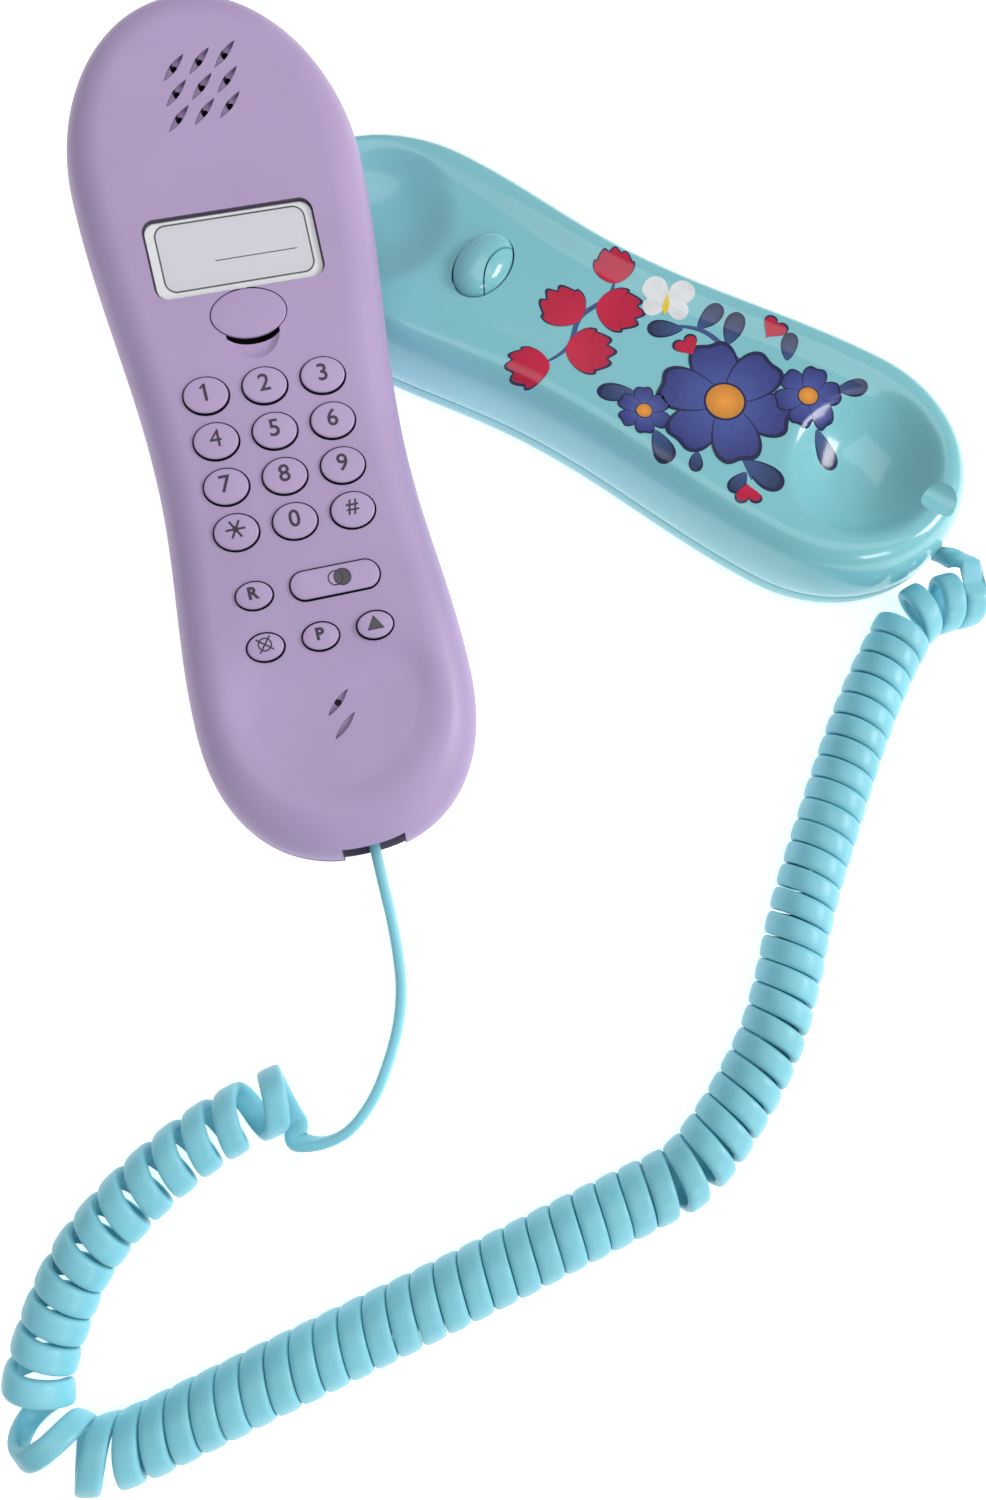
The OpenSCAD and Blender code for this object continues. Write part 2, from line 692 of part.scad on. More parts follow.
function face_ring(i, off) = [
    for (p = outline(handset_len, handset_st, i + off))
        [p[0], p[1], face_surface(p[0], p[1]) - off - edge_drop(i, face_r(p[0]), face_edge)]
];
function back_ring(i, off) = [
    for (p = outline(handset_len, handset_st, i + off))
        [p[0], p[1], back_z(p[0]) + off + edge_drop(i, back_r, back_edge)]
];
function split_ring(i, dz) = [
    for (p = outline(handset_len, handset_st, i)) [p[0], p[1], split_z(p[0]) + dz]
];

ear_x = 22 - handset_half;
// Lays a piece square on the face, which slopes along x
module on_face(x) {
    translate([x, 0, face_z(x)]) rotate([0, atan(2 * face_bow * (face_mid - x)), 0]) children();
}
mic_x = handset_half - 33.7;
mic_y = 0.5;
slot_l = 6.2;
slot_w = 1.7;
slot_turn = 50;
slot_pitch_x = 5.15;
slot_pitch_y = 5.55;
slot_skew = 0.12;
slot_deep = 0.9;
sound_hole_r = 0.75;

label_x = -38.4;
label_r = 2.4;
label_deep = 1;
catch_x = -24.8;
catch_w = 16.2;
catch_h = 10.2;
scoop_w = 13.5;
scoop_h = 12.5;
scoop_x = -21;

row_x = [for (k = [0:3]) -8.5 + k * key_row];
small_w = 7.7;
small_h = 5.8;
small_col = 11.85;
function_row_x = 35.5;
lower_row_x = 46.7;
redial_w = 19.2;
redial_h = 6.1;
redial_y = 5.6;
// Each key: place in x and y, width and height
KEYS = concat(
    [for (r = [0:3], c = [-1:1]) [row_x[r], c * key_col, key_w, key_h]],
    [[function_row_x, -small_col, small_w, small_h], [function_row_x, redial_y, redial_w, redial_h]],
    [for (c = [-1:1]) [lower_row_x, c * small_col, small_w, small_h]]
);

post_x = [-17, 28.2, 53.6];
handset_screw_ear = [47 - handset_half, 22.2];
handset_screw_mouth = [handset_half - 27, 18];
handset_screw_at = [
    for (p = [handset_screw_ear, handset_screw_mouth], s = [1, -1]) [p[0], s * p[1]]
];
handset_head_z = -17.4;
handset_grip = 8;

handset_jack_y = 1.4;
handset_jack_z = -11.2;
handset_jack_front = handset_half - 7;
handset_plug_x = handset_jack_front + plug_out;
notch_w = 13.6;

module lens(l, w) {
    // two arcs that meet in points
    r = (l * l / 4 + w * w / 4) / w;
    intersection() {
        translate([0, r - w / 2]) circle(r = r, $fn = 64);
        translate([0, w / 2 - r]) circle(r = r, $fn = 64);
    }
}
module sound_slot(x, y, open) {
    z = face_surface(x, y);
    translate([x, y, z - slot_deep]) rotate([0, 0, 90 + slot_turn]) linear_extrude(4) lens(slot_l, slot_w);
    if (open) translate([x, y, z - 6]) cylinder(r = sound_hole_r, h = 10);
}
module stadium(w, h) {
    // long side across the handset
    square([h, w - h], center = true);
    for (s = [-1, 1]) translate([0, s * (w - h) / 2]) circle(r = h / 2);
}
module key_plan(w, h, grow) {
    if (w > 2 * h) stadium(w + 2 * grow, h + 2 * grow);
    else polygon(oval(h + 2 * grow, w + 2 * grow));
}
module round_rect(w, h, r) {
    // w is across the handset
    for (sx = [-1, 1], sy = [-1, 1])
        translate([sx * (h / 2 - r), sy * (w / 2 - r)]) circle(r = r);
    square([h, w - 2 * r], center = true);
    square([h - 2 * r, w], center = true);
}

module handset_front_shell() {
    color(lilac) in_handset() difference() {
        union() {
            ring_solid(concat(
                [for (i = [20, 13, 9, 6.2, 3.8, 1.8, 0.6]) face_ring(i, wall)],
                [split_ring(wall, 0)],
                [split_ring(0, 0)],
                [for (i = [0, 0.3, 1.1, 2.4, 4.4, 7.4, 11.5, 17, 23]) face_ring(i, 0)]
            ));
            // screw bosses
            for (p = handset_screw_at)
                translate([p[0], p[1], -face_depth + 1.6])
                    cylinder(r = boss_r, h = face_depth - 1.6 - wall + face_z(p[0]));
            // posts that carry the circuit board, between the rows of keys
            for (x = post_x, y = [-1, 1])
                translate([x, y * (mat_half + 2), handset_pcb_z + pcb_t])
                    cylinder(r = 1.6, h = face_surface(x, mat_half + 2) - wall / 2 - handset_pcb_z - pcb_t);
            // cup that holds the receiver
            on_face(ear_x) translate([0, 0, -8]) difference() {
                cylinder(r = receiver_r + 2.8, h = 8 - wall + 0.4);
                translate([0, 0, -1]) cylinder(r = receiver_r + 1.6, h = 9);
            }
        }
        for (r = [-1:1], c = [-1:1])
            sound_slot(ear_x + r * slot_pitch_x - slot_skew * c * slot_pitch_y,
                c * slot_pitch_y - slot_skew * r * slot_pitch_x, true);
        sound_slot(mic_x, mic_y, true);
        sound_slot(mic_x + 5.2, mic_y + 0.4, false);
        for (k = KEYS)
            translate([k[0], k[1], -8]) linear_extrude(16) key_plan(k[2], k[3], run_gap);
        // recess of the label
        on_face(label_x) translate([0, 0, -label_deep])
            linear_extrude(6) round_rect(label_w, label_h, label_r);
        // opening of the hanger catch
        translate([catch_x, 0, -8]) linear_extrude(16) polygon(oval(catch_h, catch_w));
        translate([scoop_x, 0, -8]) linear_extrude(16) polygon(oval(scoop_h, scoop_w));
        for (p = handset_screw_at)
            translate([p[0], p[1], -12])
                cylinder(r = screw_r + 0.05, h = handset_head_z + handset_grip + 12.4);
        jack_notch();
    }
}

// Notch through the mouth end for the socket, open to the back so that the cord can swing
module jack_notch() {
    translate([handset_jack_front - 2, handset_jack_y - notch_w / 2, handset_jack_z - 20])
        cube([handset_half - handset_jack_front + 4, notch_w, 25]);
}

module handset_back_shell() {
    color(lilac) in_handset() difference() {
        union() {
            ring_solid(flipped(concat(
                [for (i = [18, 9, 4.5, 1.8, 0.4]) back_ring(i, wall)],
                [split_ring(wall, -seam)],
                [split_ring(0, -seam)],
                [for (i = [0, 0.4, 1.5, 3.4, 6.4, 11, 18]) back_ring(i, 0)]
            )));
            for (p = handset_screw_at)
                translate([p[0], p[1], back_z(p[0]) + 1.5])
                    cylinder(r = boss_r + 0.8, h = -face_depth + 1.4 - back_z(p[0]) - 1.5);
        }
        for (p = handset_screw_at) {
            translate([p[0], p[1], -40]) cylinder(r = screw_head_r + seat_gap, h = 40 + handset_head_z);
            translate([p[0], p[1], -30]) cylinder(r = screw_r + 0.4, h = 30);
        }
        jack_notch();
    }
}

key_flange = 0.9;
mat_t = 1.2;
dome_h = 1.1;
dome_gap = 0.25;
// A key pressed right down stops just above its rubber dome
handset_pcb_z = -(wall + run_gap + key_flange + key_travel + dome_gap + dome_h + mat_t + pcb_t);
handset_pcb_x = [-20, 56];
handset_pcb_half = 21;
mat_half = 17;
module handset_pcb() {
    color("#2f6b3c") in_handset() {
        translate([handset_pcb_x[0], -handset_pcb_half, handset_pcb_z])
            cube([handset_pcb_x[1] - handset_pcb_x[0], 2 * handset_pcb_half, pcb_t]);
        translate([14, -5, handset_pcb_z - 2]) cube([12, 10, 2]);
    }
}
module keypad_mat() {
    color("#d9d6cf") in_handset() {
        translate([handset_pcb_x[0] + 5, -mat_half, handset_pcb_z + pcb_t])
            cube([handset_pcb_x[1] - handset_pcb_x[0] - 8, 2 * mat_half, mat_t]);
        for (k = KEYS)
            translate([k[0], k[1], handset_pcb_z + pcb_t + mat_t]) cylinder(r1 = 2.8, r2 = 2, h = dome_h);
    }
}

receiver_r = 12.5;
magnet_r = 7.5;
magnet_h = 2;
receiver_h = 7;
receiver_z = -11.4;
module receiver_capsule() {
    color("#3a3a3e") in_handset() on_face(ear_x) translate([0, 0, receiver_z]) {
        cylinder(r = receiver_r, h = receiver_h);
        translate([0, 0, -magnet_h]) cylinder(r = magnet_r, h = magnet_h);
    }
}
module receiver_gasket() {
    color("#2a2a2c") in_handset() on_face(ear_x) translate([0, 0, receiver_z + receiver_h]) difference() {
        cylinder(r = receiver_r + 0.8, h = -wall - 2 * seat_gap - receiver_z - receiver_h);
        translate([0, 0, -1]) cylinder(r = receiver_r - 3, h = 4);
    }
}

mic_r = 4.8;
mic_h = 4.6;
mic_top = -2.4;
module microphone_capsule() {
    color("#b8bcc0") in_handset() translate([mic_x, mic_y, mic_top - mic_h]) cylinder(r = mic_r, h = mic_h);
}
module microphone_boot() {
    color("#2a2a2c") in_handset() translate([mic_x, mic_y, mic_top - mic_h]) difference() {
        cylinder(r = mic_r + 1.6, h = mic_h);
        translate([0, 0, -1]) cylinder(r = mic_r, h = mic_h + 2);
    }
}

card_t = 0.3;
cover_t = 0.5;
module label_card() {
    color("white") in_handset() on_face(label_x) translate([0, 0, -label_deep])
        linear_extrude(card_t) round_rect(label_w - 2, label_h - 2, label_r - 1);
}
module label_cover() {
    color("#e8eef2", 0.4) in_handset() on_face(label_x)
        translate([0, 0, -label_deep + card_t + 0.05]) linear_extrude(cover_t)
            round_rect(label_w - 2 * seat_gap, label_h - 2 * seat_gap, label_r - seat_gap);
}

// Insert behind the face: a scooped pocket with an overhanging disc that the hook slips under
module hanger_catch() {
    color(lilac) in_handset() {
        difference() {
            translate([scoop_x - 2.3, 0, -5.6]) linear_extrude(5.6 - wall - 0.1) round_rect(21, 19.3, 3);
            translate([scoop_x, 0, -4.4]) linear_extrude(8) polygon(oval(scoop_h, scoop_w));
        }
        intersection() {
            on_face(catch_x) translate([0, 0, -6])
                linear_extrude(7) polygon(oval(catch_h - 2 * seat_gap, catch_w - 2 * seat_gap));
            union() {
                // the disc, and the post that carries its ear side
                on_face(catch_x) translate([-10, -10, -1.2]) cube([20, 20, 1.3]);
                translate([catch_x - 10, -10, -5]) cube([7.6, 20, 5.2]);
            }
        }
    }
}

handset_weight_x = -34;
handset_weight_size = [40, 26, 5];
module handset_weight() {
    color("#8a8a8e") in_handset()
        translate([handset_weight_x, -handset_weight_size[1] / 2, -handset_depth + wall + 0.75])
            cube(handset_weight_size);
}
module handset_jack() {
    in_handset() translate([handset_jack_front, handset_jack_y, handset_jack_z]) socket(7, 8.2);
}
module handset_plug() {
    color("#d8e4e8") in_handset() translate([handset_plug_x, handset_jack_y, handset_jack_z]) plug();
}
module handset_screws() {
    color("#b8bcc0") in_handset() for (p = handset_screw_at)
        translate([p[0], p[1], handset_head_z - screw_head_h]) screw(handset_grip);
}

flange_grow = 0.9;
module key(k) {
    z = face_surface(k[0], k[1]);
    color(lilac) in_handset() translate([k[0], k[1], z]) {
        // stem with a bevelled top, and the flange that keeps it in the shell
        translate([0, 0, -wall - run_gap])
            linear_extrude(wall + run_gap + key_rise - 0.35) key_plan(k[2], k[3], 0);
        translate([0, 0, key_rise - 0.4]) linear_extrude(0.4) key_plan(k[2], k[3], -0.35);
        translate([0, 0, -wall - run_gap - key_flange])
            linear_extrude(key_flange) key_plan(k[2], k[3], flange_grow);
    }
}

cradle_top_shell();
cradle_bottom_shell();
hook_plunger();
hanger_tab();
hook_spring();
hook_switch();
base_pcb();
ringer();
base_cord_jack();
line_jack();
base_weight();
rubber_feet();
base_screws();
base_plug();
cord_base_lead();
cord_coil();
cord_handset_lead();
handset_plug();
handset_front_shell();
handset_back_shell();
handset_pcb();
keypad_mat();
receiver_capsule();
receiver_gasket();
microphone_capsule();
microphone_boot();
label_card();
label_cover();
hanger_catch();
handset_weight();
handset_jack();
handset_screws();
key(KEYS[0]);  // key_1
key(KEYS[1]);  // key_2
key(KEYS[2]);  // key_3
key(KEYS[3]);  // key_4
key(KEYS[4]);  // key_5
key(KEYS[5]);  // key_6
key(KEYS[6]);  // key_7
key(KEYS[7]);  // key_8
key(KEYS[8]);  // key_9
key(KEYS[9]);  // key_star
key(KEYS[10]);  // key_0
key(KEYS[11]);  // key_hash
key(KEYS[12]);  // key_recall
key(KEYS[13]);  // key_redial
key(KEYS[14]);  // key_mute
key(KEYS[15]);  // key_pause
key(KEYS[16]);  // key_volume
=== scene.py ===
"""Dresses a slim bedroom telephone: cradle, keypad handset and curly cord.

Shapes are drawn in millimetres and brought to metres when a piece is finished. The handset's
pieces are drawn in its own frame: x to the mouth end, z out of the face.
"""
import json
import math

import bmesh
import bpy
import numpy as np
from bpy.props import FloatProperty, FloatVectorProperty, IntProperty, PointerProperty
from mathutils import Matrix, Vector


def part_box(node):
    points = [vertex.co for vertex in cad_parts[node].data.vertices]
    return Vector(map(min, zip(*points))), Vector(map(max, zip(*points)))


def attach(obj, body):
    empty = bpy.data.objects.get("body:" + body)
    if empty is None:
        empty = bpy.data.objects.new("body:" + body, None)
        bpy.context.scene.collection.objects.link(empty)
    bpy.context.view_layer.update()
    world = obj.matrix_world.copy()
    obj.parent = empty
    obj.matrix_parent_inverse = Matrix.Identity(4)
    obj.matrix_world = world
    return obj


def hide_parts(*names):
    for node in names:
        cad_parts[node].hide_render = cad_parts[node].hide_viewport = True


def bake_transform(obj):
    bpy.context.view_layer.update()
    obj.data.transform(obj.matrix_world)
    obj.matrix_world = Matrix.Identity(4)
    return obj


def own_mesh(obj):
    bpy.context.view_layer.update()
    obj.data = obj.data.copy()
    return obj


bl_info = {
    "name": "Slim Bedroom Telephone",
    "version": (1, 0, 0),
    "blender": (4, 5, 0),
    "location": "View3D > Sidebar > Telephone",
    "description": "Builds a slim bedroom telephone's looks around its packed frame",
    "category": "Add Mesh",
}

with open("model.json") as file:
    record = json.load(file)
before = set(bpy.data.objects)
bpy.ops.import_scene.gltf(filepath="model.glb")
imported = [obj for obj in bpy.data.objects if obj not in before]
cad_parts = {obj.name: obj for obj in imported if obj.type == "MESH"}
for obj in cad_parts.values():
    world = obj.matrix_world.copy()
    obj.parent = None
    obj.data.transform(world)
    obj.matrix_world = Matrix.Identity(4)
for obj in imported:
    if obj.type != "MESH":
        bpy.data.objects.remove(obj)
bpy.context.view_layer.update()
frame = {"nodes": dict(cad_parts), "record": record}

MM = 0.001
OUTLINE_POINTS = 240
EDGE_STEPS = 14
WALL = 2.2
RUN_GAP = 0.35
KEY_GAP = 0.38
SEAT_GAP = 0.2
SEAM = 0.15
LIP_ROUND = 0.25
FINE = 96


# ---- sizes and colours -------------------------------------------------------------------


def size(default, name, description):
    """A length that the panel shows, given in millimetres."""
    return FloatProperty(
        name=name, description=description, default=default * MM, min=0.0,
        unit="LENGTH", precision=5,
    )


def colour(default, name, description):
    return FloatVectorProperty(
        name=name, description=description, default=default, size=3, min=0.0, max=1.0,
        subtype="COLOR",
    )


class CradleSizes(bpy.types.PropertyGroup):
    length: size(186, "Length", "Length of the cradle")
    ear_half: size(29.5, "Ear half width", "Half width at the ear end")
    waist_half: size(26, "Waist half width", "Half width at the waist")
    mouth_half: size(30.5, "Mouth half width", "Half width at the mouth end")
    rim_height: size(23.6, "Rim height", "Height of the rim above the table")
    split_height: size(8, "Split height", "Height of the parting line")
    shell: colour((0.235, 0.590, 0.640), "Shell", "Aqua blue of the cradle's plastic")


class HandsetSizes(bpy.types.PropertyGroup):
    length: size(190, "Length", "Length of the handset")
    ear_half: size(31.8, "Ear half width", "Half width at the ear end")
    waist_half: size(27.6, "Waist half width", "Half width at the waist")
    mouth_half: size(30.8, "Mouth half width", "Half width at the mouth end")
    face_depth: size(11, "Face depth", "Depth from the face to the parting line")
    depth: size(22, "Depth", "Depth from the face to the back")
    shell: colour((0.450, 0.330, 0.555), "Shell", "Lilac of the handset's plastic")


class KeySizes(bpy.types.PropertyGroup):
    width: size(9.4, "Width", "Width of a number key")
    height: size(7.7, "Height", "Height of a number key")
    column: size(12.6, "Column", "Spacing of the key columns")
    row: size(9.97, "Row", "Spacing of the key rows")
    rise: size(1.1, "Rise", "Height of a key above the face")
    cap: colour((0.475, 0.350, 0.580), "Cap", "Lilac of the keys")
    ink: colour((0.050, 0.036, 0.066), "Ink", "Dark ink of the legends")
    grey: colour((0.085, 0.078, 0.092), "Grey", "Grey ink of the filled signs")


class CordSizes(bpy.types.PropertyGroup):
    width: size(4.8, "Width", "Width of the flat cord")
    spread: size(0.22, "Spread", "What the curled cord is wider than the straight one")
    thickness: size(2.4, "Thickness", "Thickness of the flat cord")
    curl: size(14, "Curl", "Outside diameter of the curls")
    curls: IntProperty(name="Curls", description="Number of curls", default=65, min=8, max=100)
    jacket: colour((0.240, 0.640, 0.750), "Jacket", "Aqua blue of the vinyl jacket")


class PrintColours(bpy.types.PropertyGroup):
    petal: colour((0.034, 0.045, 0.215), "Petal", "Deep blue violet of the large blooms")
    light: colour((0.085, 0.125, 0.430), "Light petal", "Lighter blue inside a petal")
    centre: colour((0.850, 0.330, 0.045), "Centre", "Orange of the blooms' centres")
    tulip: colour((0.500, 0.006, 0.045), "Tulip", "Crimson of the tulips")
    leaf: colour((0.020, 0.040, 0.110), "Leaf", "Navy of the leaves and stems")
    white: colour((0.800, 0.820, 0.830), "White", "White of the butterfly")
    yellow: colour((0.800, 0.620, 0.030), "Yellow", "Yellow of the butterfly's body")


class StageSettings(bpy.types.PropertyGroup):
    floor: colour((0.93, 0.93, 0.935), "Floor", "Pale floor")
    key_power: FloatProperty(
        name="Key power", description="Power that the three soft lights share", default=1.7,
        min=0.0, unit="POWER",
    )
    lens: FloatProperty(
        name="Lens", description="Focal length on a 36 mm sensor", default=39.43, min=1.0,
        unit="CAMERA",
    )


# ---- profile helpers ---------------------------------------------------------------------


def ease(t):
    return 0.0 if t <= 0 else 1.0 if t >= 1 else 0.5 - 0.5 * math.cos(math.pi * t)


def round_end(t, power=2.0):
    return max(0.0, 1 - abs(t) ** power) ** (1 / power)


def edge_drop(inset, radius, height):
    """Height lost by a rounded edge at a distance in from the wall."""
    return 0.0 if inset >= radius else height * (1 - round_end(1 - inset / radius))


def hollow(x, y, centre, half_x, half_y, depth):
    q = math.hypot((x - centre) / half_x, y / half_y)
    return 0.0 if q >= 1 else depth * (1 - q ** 3) ** 2


def angles(count):
    return [2 * math.pi * (k + 0.5) / count for k in range(count)]


def quarter(steps):
    """Angles from 0 to 90 degrees, for a rounded edge."""
    return [math.pi / 2 * k / steps for k in range(steps + 1)]


def oval(width, height, count=64):
    """An oval key plan: its width runs across the handset, in y."""
    return [(height / 2 * math.cos(a), width / 2 * math.sin(a)) for a in angles(count)]


def circle(radius, count=40):
    return [(radius * math.cos(a), radius * math.sin(a)) for a in angles(count)]


def stadium(width, height, count=64):
    """A long key plan: two round ends joined by straight sides."""
    reach = (width - height) / 2
    return [
        (height / 2 * math.cos(a), height / 2 * math.sin(a) + math.copysign(reach, math.sin(a)))
        for a in angles(count)
    ]


def round_box(width, height, radius, count=64):
    """A rectangle with round corners: its width runs across the handset, in y."""
    across, along = width / 2 - radius, height / 2 - radius
    return [
        (
            math.copysign(along, math.cos(a)) + radius * math.cos(a),
            math.copysign(across, math.sin(a)) + radius * math.sin(a),
        )
        for a in angles(count)
    ]


def lens_plan(length, width, turn, count=16):
    """Two arcs that meet in points, turned by an angle."""
    radius = (length ** 2 + width ** 2) / (4 * width)
    reach = math.asin(length / 2 / radius)
    arc = [reach * (2 * k / count - 1) for k in range(count + 1)]
    upper = [(radius * math.sin(a), radius * math.cos(a) - radius + width / 2) for a in arc]
    lower = [(-x, -y) for x, y in upper[1:-1]]
    c, s = math.cos(turn), math.sin(turn)
    return [(x * c - y * s, x * s + y * c) for x, y in upper[::-1] + lower[::-1]]


class Peanut:
    """An outline with a half width at its ear, waist and mouth, eased from one to the next."""

    def __init__(self, length, ear, waist, mouth, square=2.0):
        self.half = length / 2
        self.ear, self.waist, self.mouth = ear, waist, mouth
        self.square = square

    def half_width(self, x, half, inset):
        (ear_x, ear), (waist_x, waist), (mouth_x, mouth) = self.ear, self.waist, self.mouth
        if x <= ear_x:
            return (ear - inset) * round_end((x - ear_x) / (ear_x + half))
        if x < waist_x:
            return ear - inset + (waist - ear) * ease((x - ear_x) / (waist_x - ear_x))
        if x < mouth_x:
            return waist - inset + (mouth - waist) * ease((x - waist_x) / (mouth_x - waist_x))
        return (mouth - inset) * round_end((x - mouth_x) / (half - mouth_x), self.square)

    def point(self, angle, inset=0.0):
        half = self.half - inset
        x = -half * math.cos(angle)
        side = -1 if angle < math.pi else 1
        return x, side * self.half_width(x, half, inset)

    def inset_at(self, x, y):
        """How far in from the outline a point lies, measured across."""
        return max(0.0, self.half_width(x, self.half, 0.0) - abs(y))

    def spine(self, angle, inset, share):
        """A point on its way from the outline drawn in to the line down the middle."""
        x, y = self.point(angle, inset)
        limit = self.half - inset - 10
        return x + (max(-limit, min(limit, x)) - x) * share, y * (1 - share)


class Cradle:
    """The cradle's surfaces. A hollow has its place along x, two half widths and a depth."""

    EAR_HOLLOW, MOUTH_HOLLOW = (-66, 22, 21, 5), (67.5, 18, 20.5, 8)

    def __init__(self, sizes):
        length, self.rim = sizes.length / MM, sizes.rim_height / MM
        self.split = sizes.split_height / MM
        self.base_clear, self.bottom_r, self.bottom_edge = 1.0, 4.0, 4.5
        self.rim_r, self.rim_edge, self.rim_in, self.deck_drop = 6.5, 13.0, 7.5, 1.1
        self.outline = Peanut(
            length, (-55.3, sizes.ear_half / MM), (-5.5, sizes.waist_half / MM),
            (58.6, sizes.mouth_half / MM),
        )
        self.deck_top = self.rim - self.deck_drop

    def deck(self, x, y, inset):
        return (
            self.rim - edge_drop(inset, self.rim_r, self.rim_edge)
            - self.deck_drop * ease((inset - self.rim_in) / 6)
            - hollow(x, y, *self.EAR_HOLLOW) - hollow(x, y, *self.MOUTH_HOLLOW)
        )

    def deck_at(self, x, y):
        return self.deck(x, y, self.outline.inset_at(x, y))

    def base(self, inset):
        return self.base_clear + edge_drop(inset, self.bottom_r, self.bottom_edge)


class Handset:
    """The handset's surfaces in its own frame, and where it lies."""

    PLACE = (
        Matrix.Translation(Vector((-46.8, -66.8, 37.8)) * MM)
        @ Matrix.Rotation(math.radians(-46.4), 4, "Z")
        @ Matrix.Rotation(math.radians(12.95), 4, "Y")
        @ Matrix.Rotation(math.radians(-4), 4, "X")
    )
    HOLLOW = (60, 27, 26, 1.3)
    DISH_X, DISH_HALF, DISH_DEPTH, DISH_FLAT = 62, (23.5, 25.5), 1.05, 0.66
    KEYS_END = 44
    EDGE_R, EDGE_GROWS = 8.5, 6

    def __init__(self, sizes):
        self.face_depth, self.depth = sizes.face_depth / MM, sizes.depth / MM
        self.outline = Peanut(
            sizes.length / MM, (-57, sizes.ear_half / MM), (7, sizes.waist_half / MM),
            (58, sizes.mouth_half / MM), 2.3,
        )
        self.face_mid, self.face_bow, self.face_edge = 9.5, 0.0006, 8.5
        self.back_r, self.back_edge, self.back_bow = 12.0, 9.0, 0.0004

    def face_line(self, x):
        return self.face_bow * (x - self.face_mid) ** 2

    def face(self, x, y):
        return self.face_line(x) - hollow(x, y, *self.HOLLOW)

    def skin(self, x, y):
        """The face with a dish of a clearer edge round the microphone, below the keys."""
        half_x, half_y = self.DISH_HALF
        q = math.hypot((x - self.DISH_X) / half_x, y / half_y)
        dish = 1 - ease((q - self.DISH_FLAT) / (1 - self.DISH_FLAT))
        return self.face(x, y) - self.DISH_DEPTH * (dish * ease((x - self.KEYS_END) / 16))

    def surface(self, x, y, offset):
        """The outside of the face, or its inside at a wall's thickness."""
        return self.face(x, y) - offset if offset else self.skin(x, y)

    def split(self, x):
        return -self.face_depth + self.face_line(x) / 2

    def back(self, x):
        return -self.depth + self.back_bow * x * x

    def face_r(self, x):
        """Radius of the face's rounded edge, which grows over the mouth end."""
        return self.EDGE_R + self.EDGE_GROWS * ease((x - 50) / 45)

    def on_face(self, x):
        """Lays a piece square on the face, which slopes along x."""
        slope = math.atan(2 * self.face_bow * (self.face_mid - x))
        return Matrix.Translation((x, 0, self.face_line(x))) @ Matrix.Rotation(slope, 4, "Y")


# ---- mesh helpers ------------------------------------------------------------------------


def loft(rings, closed=True):
    """An open skin through rings with the same number of points."""
    count = len(rings[0]) + (1 if closed else 0)
    bm = bmesh.new()
    made = bmesh.ops.create_grid(bm, x_segments=count - 1, y_segments=len(rings) - 1, size=1)
    points = [p for ring in rings for p in (list(ring) + list(ring[:1]) if closed else ring)]
    for vert, point in zip(made["verts"], points):
        vert.co = point
    bmesh.ops.remove_doubles(bm, verts=bm.verts, dist=1e-5)
    return bm


def closed_up(bm):
    """Open ends capped, and the faces pointing outwards."""
    bmesh.ops.holes_fill(bm, edges=bm.edges, sides=0)
    bmesh.ops.recalc_face_normals(bm, faces=bm.faces)
    return bm


def placed(bm, place):
    """A mesh laid in place by a matrix, or left where it is."""
    if place:
        bmesh.ops.transform(bm, matrix=place, verts=bm.verts)
    return bm


def prism(plan, low, high, place=None):
    """A straight-sided solid over a plan."""
    return placed(closed_up(loft([[(x, y, z) for x, y in plan] for z in (low, high)])), place)


def moved(plan, x, y):
    return [(px + x, py + y) for px, py in plan]


def block(low, high, place=None):
    """A box from its lowest to its highest corner."""
    bm = bmesh.new()
    bmesh.ops.create_cube(bm, size=1)
    low, high = Vector(low), Vector(high)
    bmesh.ops.scale(bm, vec=high - low, verts=bm.verts)
    bmesh.ops.translate(bm, vec=(low + high) / 2, verts=bm.verts)
    return placed(bm, place)


def rod(radius, low, high, at=(0, 0), count=48):
    return prism(moved(circle(radius, count), *at), low, high)


def joined(parts):
    """Several meshes as one."""
    whole = bmesh.new()
    for part in parts:
        mesh = bpy.data.meshes.new("part")
        part.to_mesh(mesh)
        part.free()
        whole.from_mesh(mesh)
        bpy.data.meshes.remove(mesh)
    return whole


def scratch(bm):
    mesh = bpy.data.meshes.new("scratch")
    bm.to_mesh(mesh)
    bm.free()
    made = bpy.data.objects.new("scratch", mesh)
    bpy.context.scene.collection.objects.link(made)
    return made


def carve(bm, parts, operation="DIFFERENCE"):
    """The solid with the parts cut out of it, or only what lies in them."""
    body, tool = scratch(bm), scratch(joined(parts))
    cut = body.modifiers.new("cut", "BOOLEAN")
    cut.operation = operation
    cut.solver = "EXACT"
    cut.object = tool
    carved = bmesh.new()
    carved.from_object(body, bpy.context.evaluated_depsgraph_get())
    for made in (body, tool):
        mesh = made.data
        bpy.data.objects.remove(made)
        bpy.data.meshes.remove(mesh)
    bmesh.ops.remove_doubles(carved, verts=carved.verts, dist=1e-4)
    return carved


def piece(name, bm, body, finishes, place=None, replaces=(), sharp=32.0):
    """A finished piece: brought to metres, laid in place, shaded and set on its body."""
    bmesh.ops.scale(bm, vec=(MM, MM, MM), verts=bm.verts)
    placed(bm, place)
    mesh = bpy.data.meshes.new(name)
    bm.to_mesh(mesh)
    bm.free()
    for finish in finishes:
        mesh.materials.append(finish)
    mesh.shade_smooth()
    mesh.set_sharp_from_angle(angle=math.radians(sharp))
    made = bpy.data.objects.new(name, mesh)
    bpy.context.scene.collection.objects.link(made)
    if body:
        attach(made, body)
    if replaces:
        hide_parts(*replaces)
    return made


# ---- finishes ----------------------------------------------------------------------------


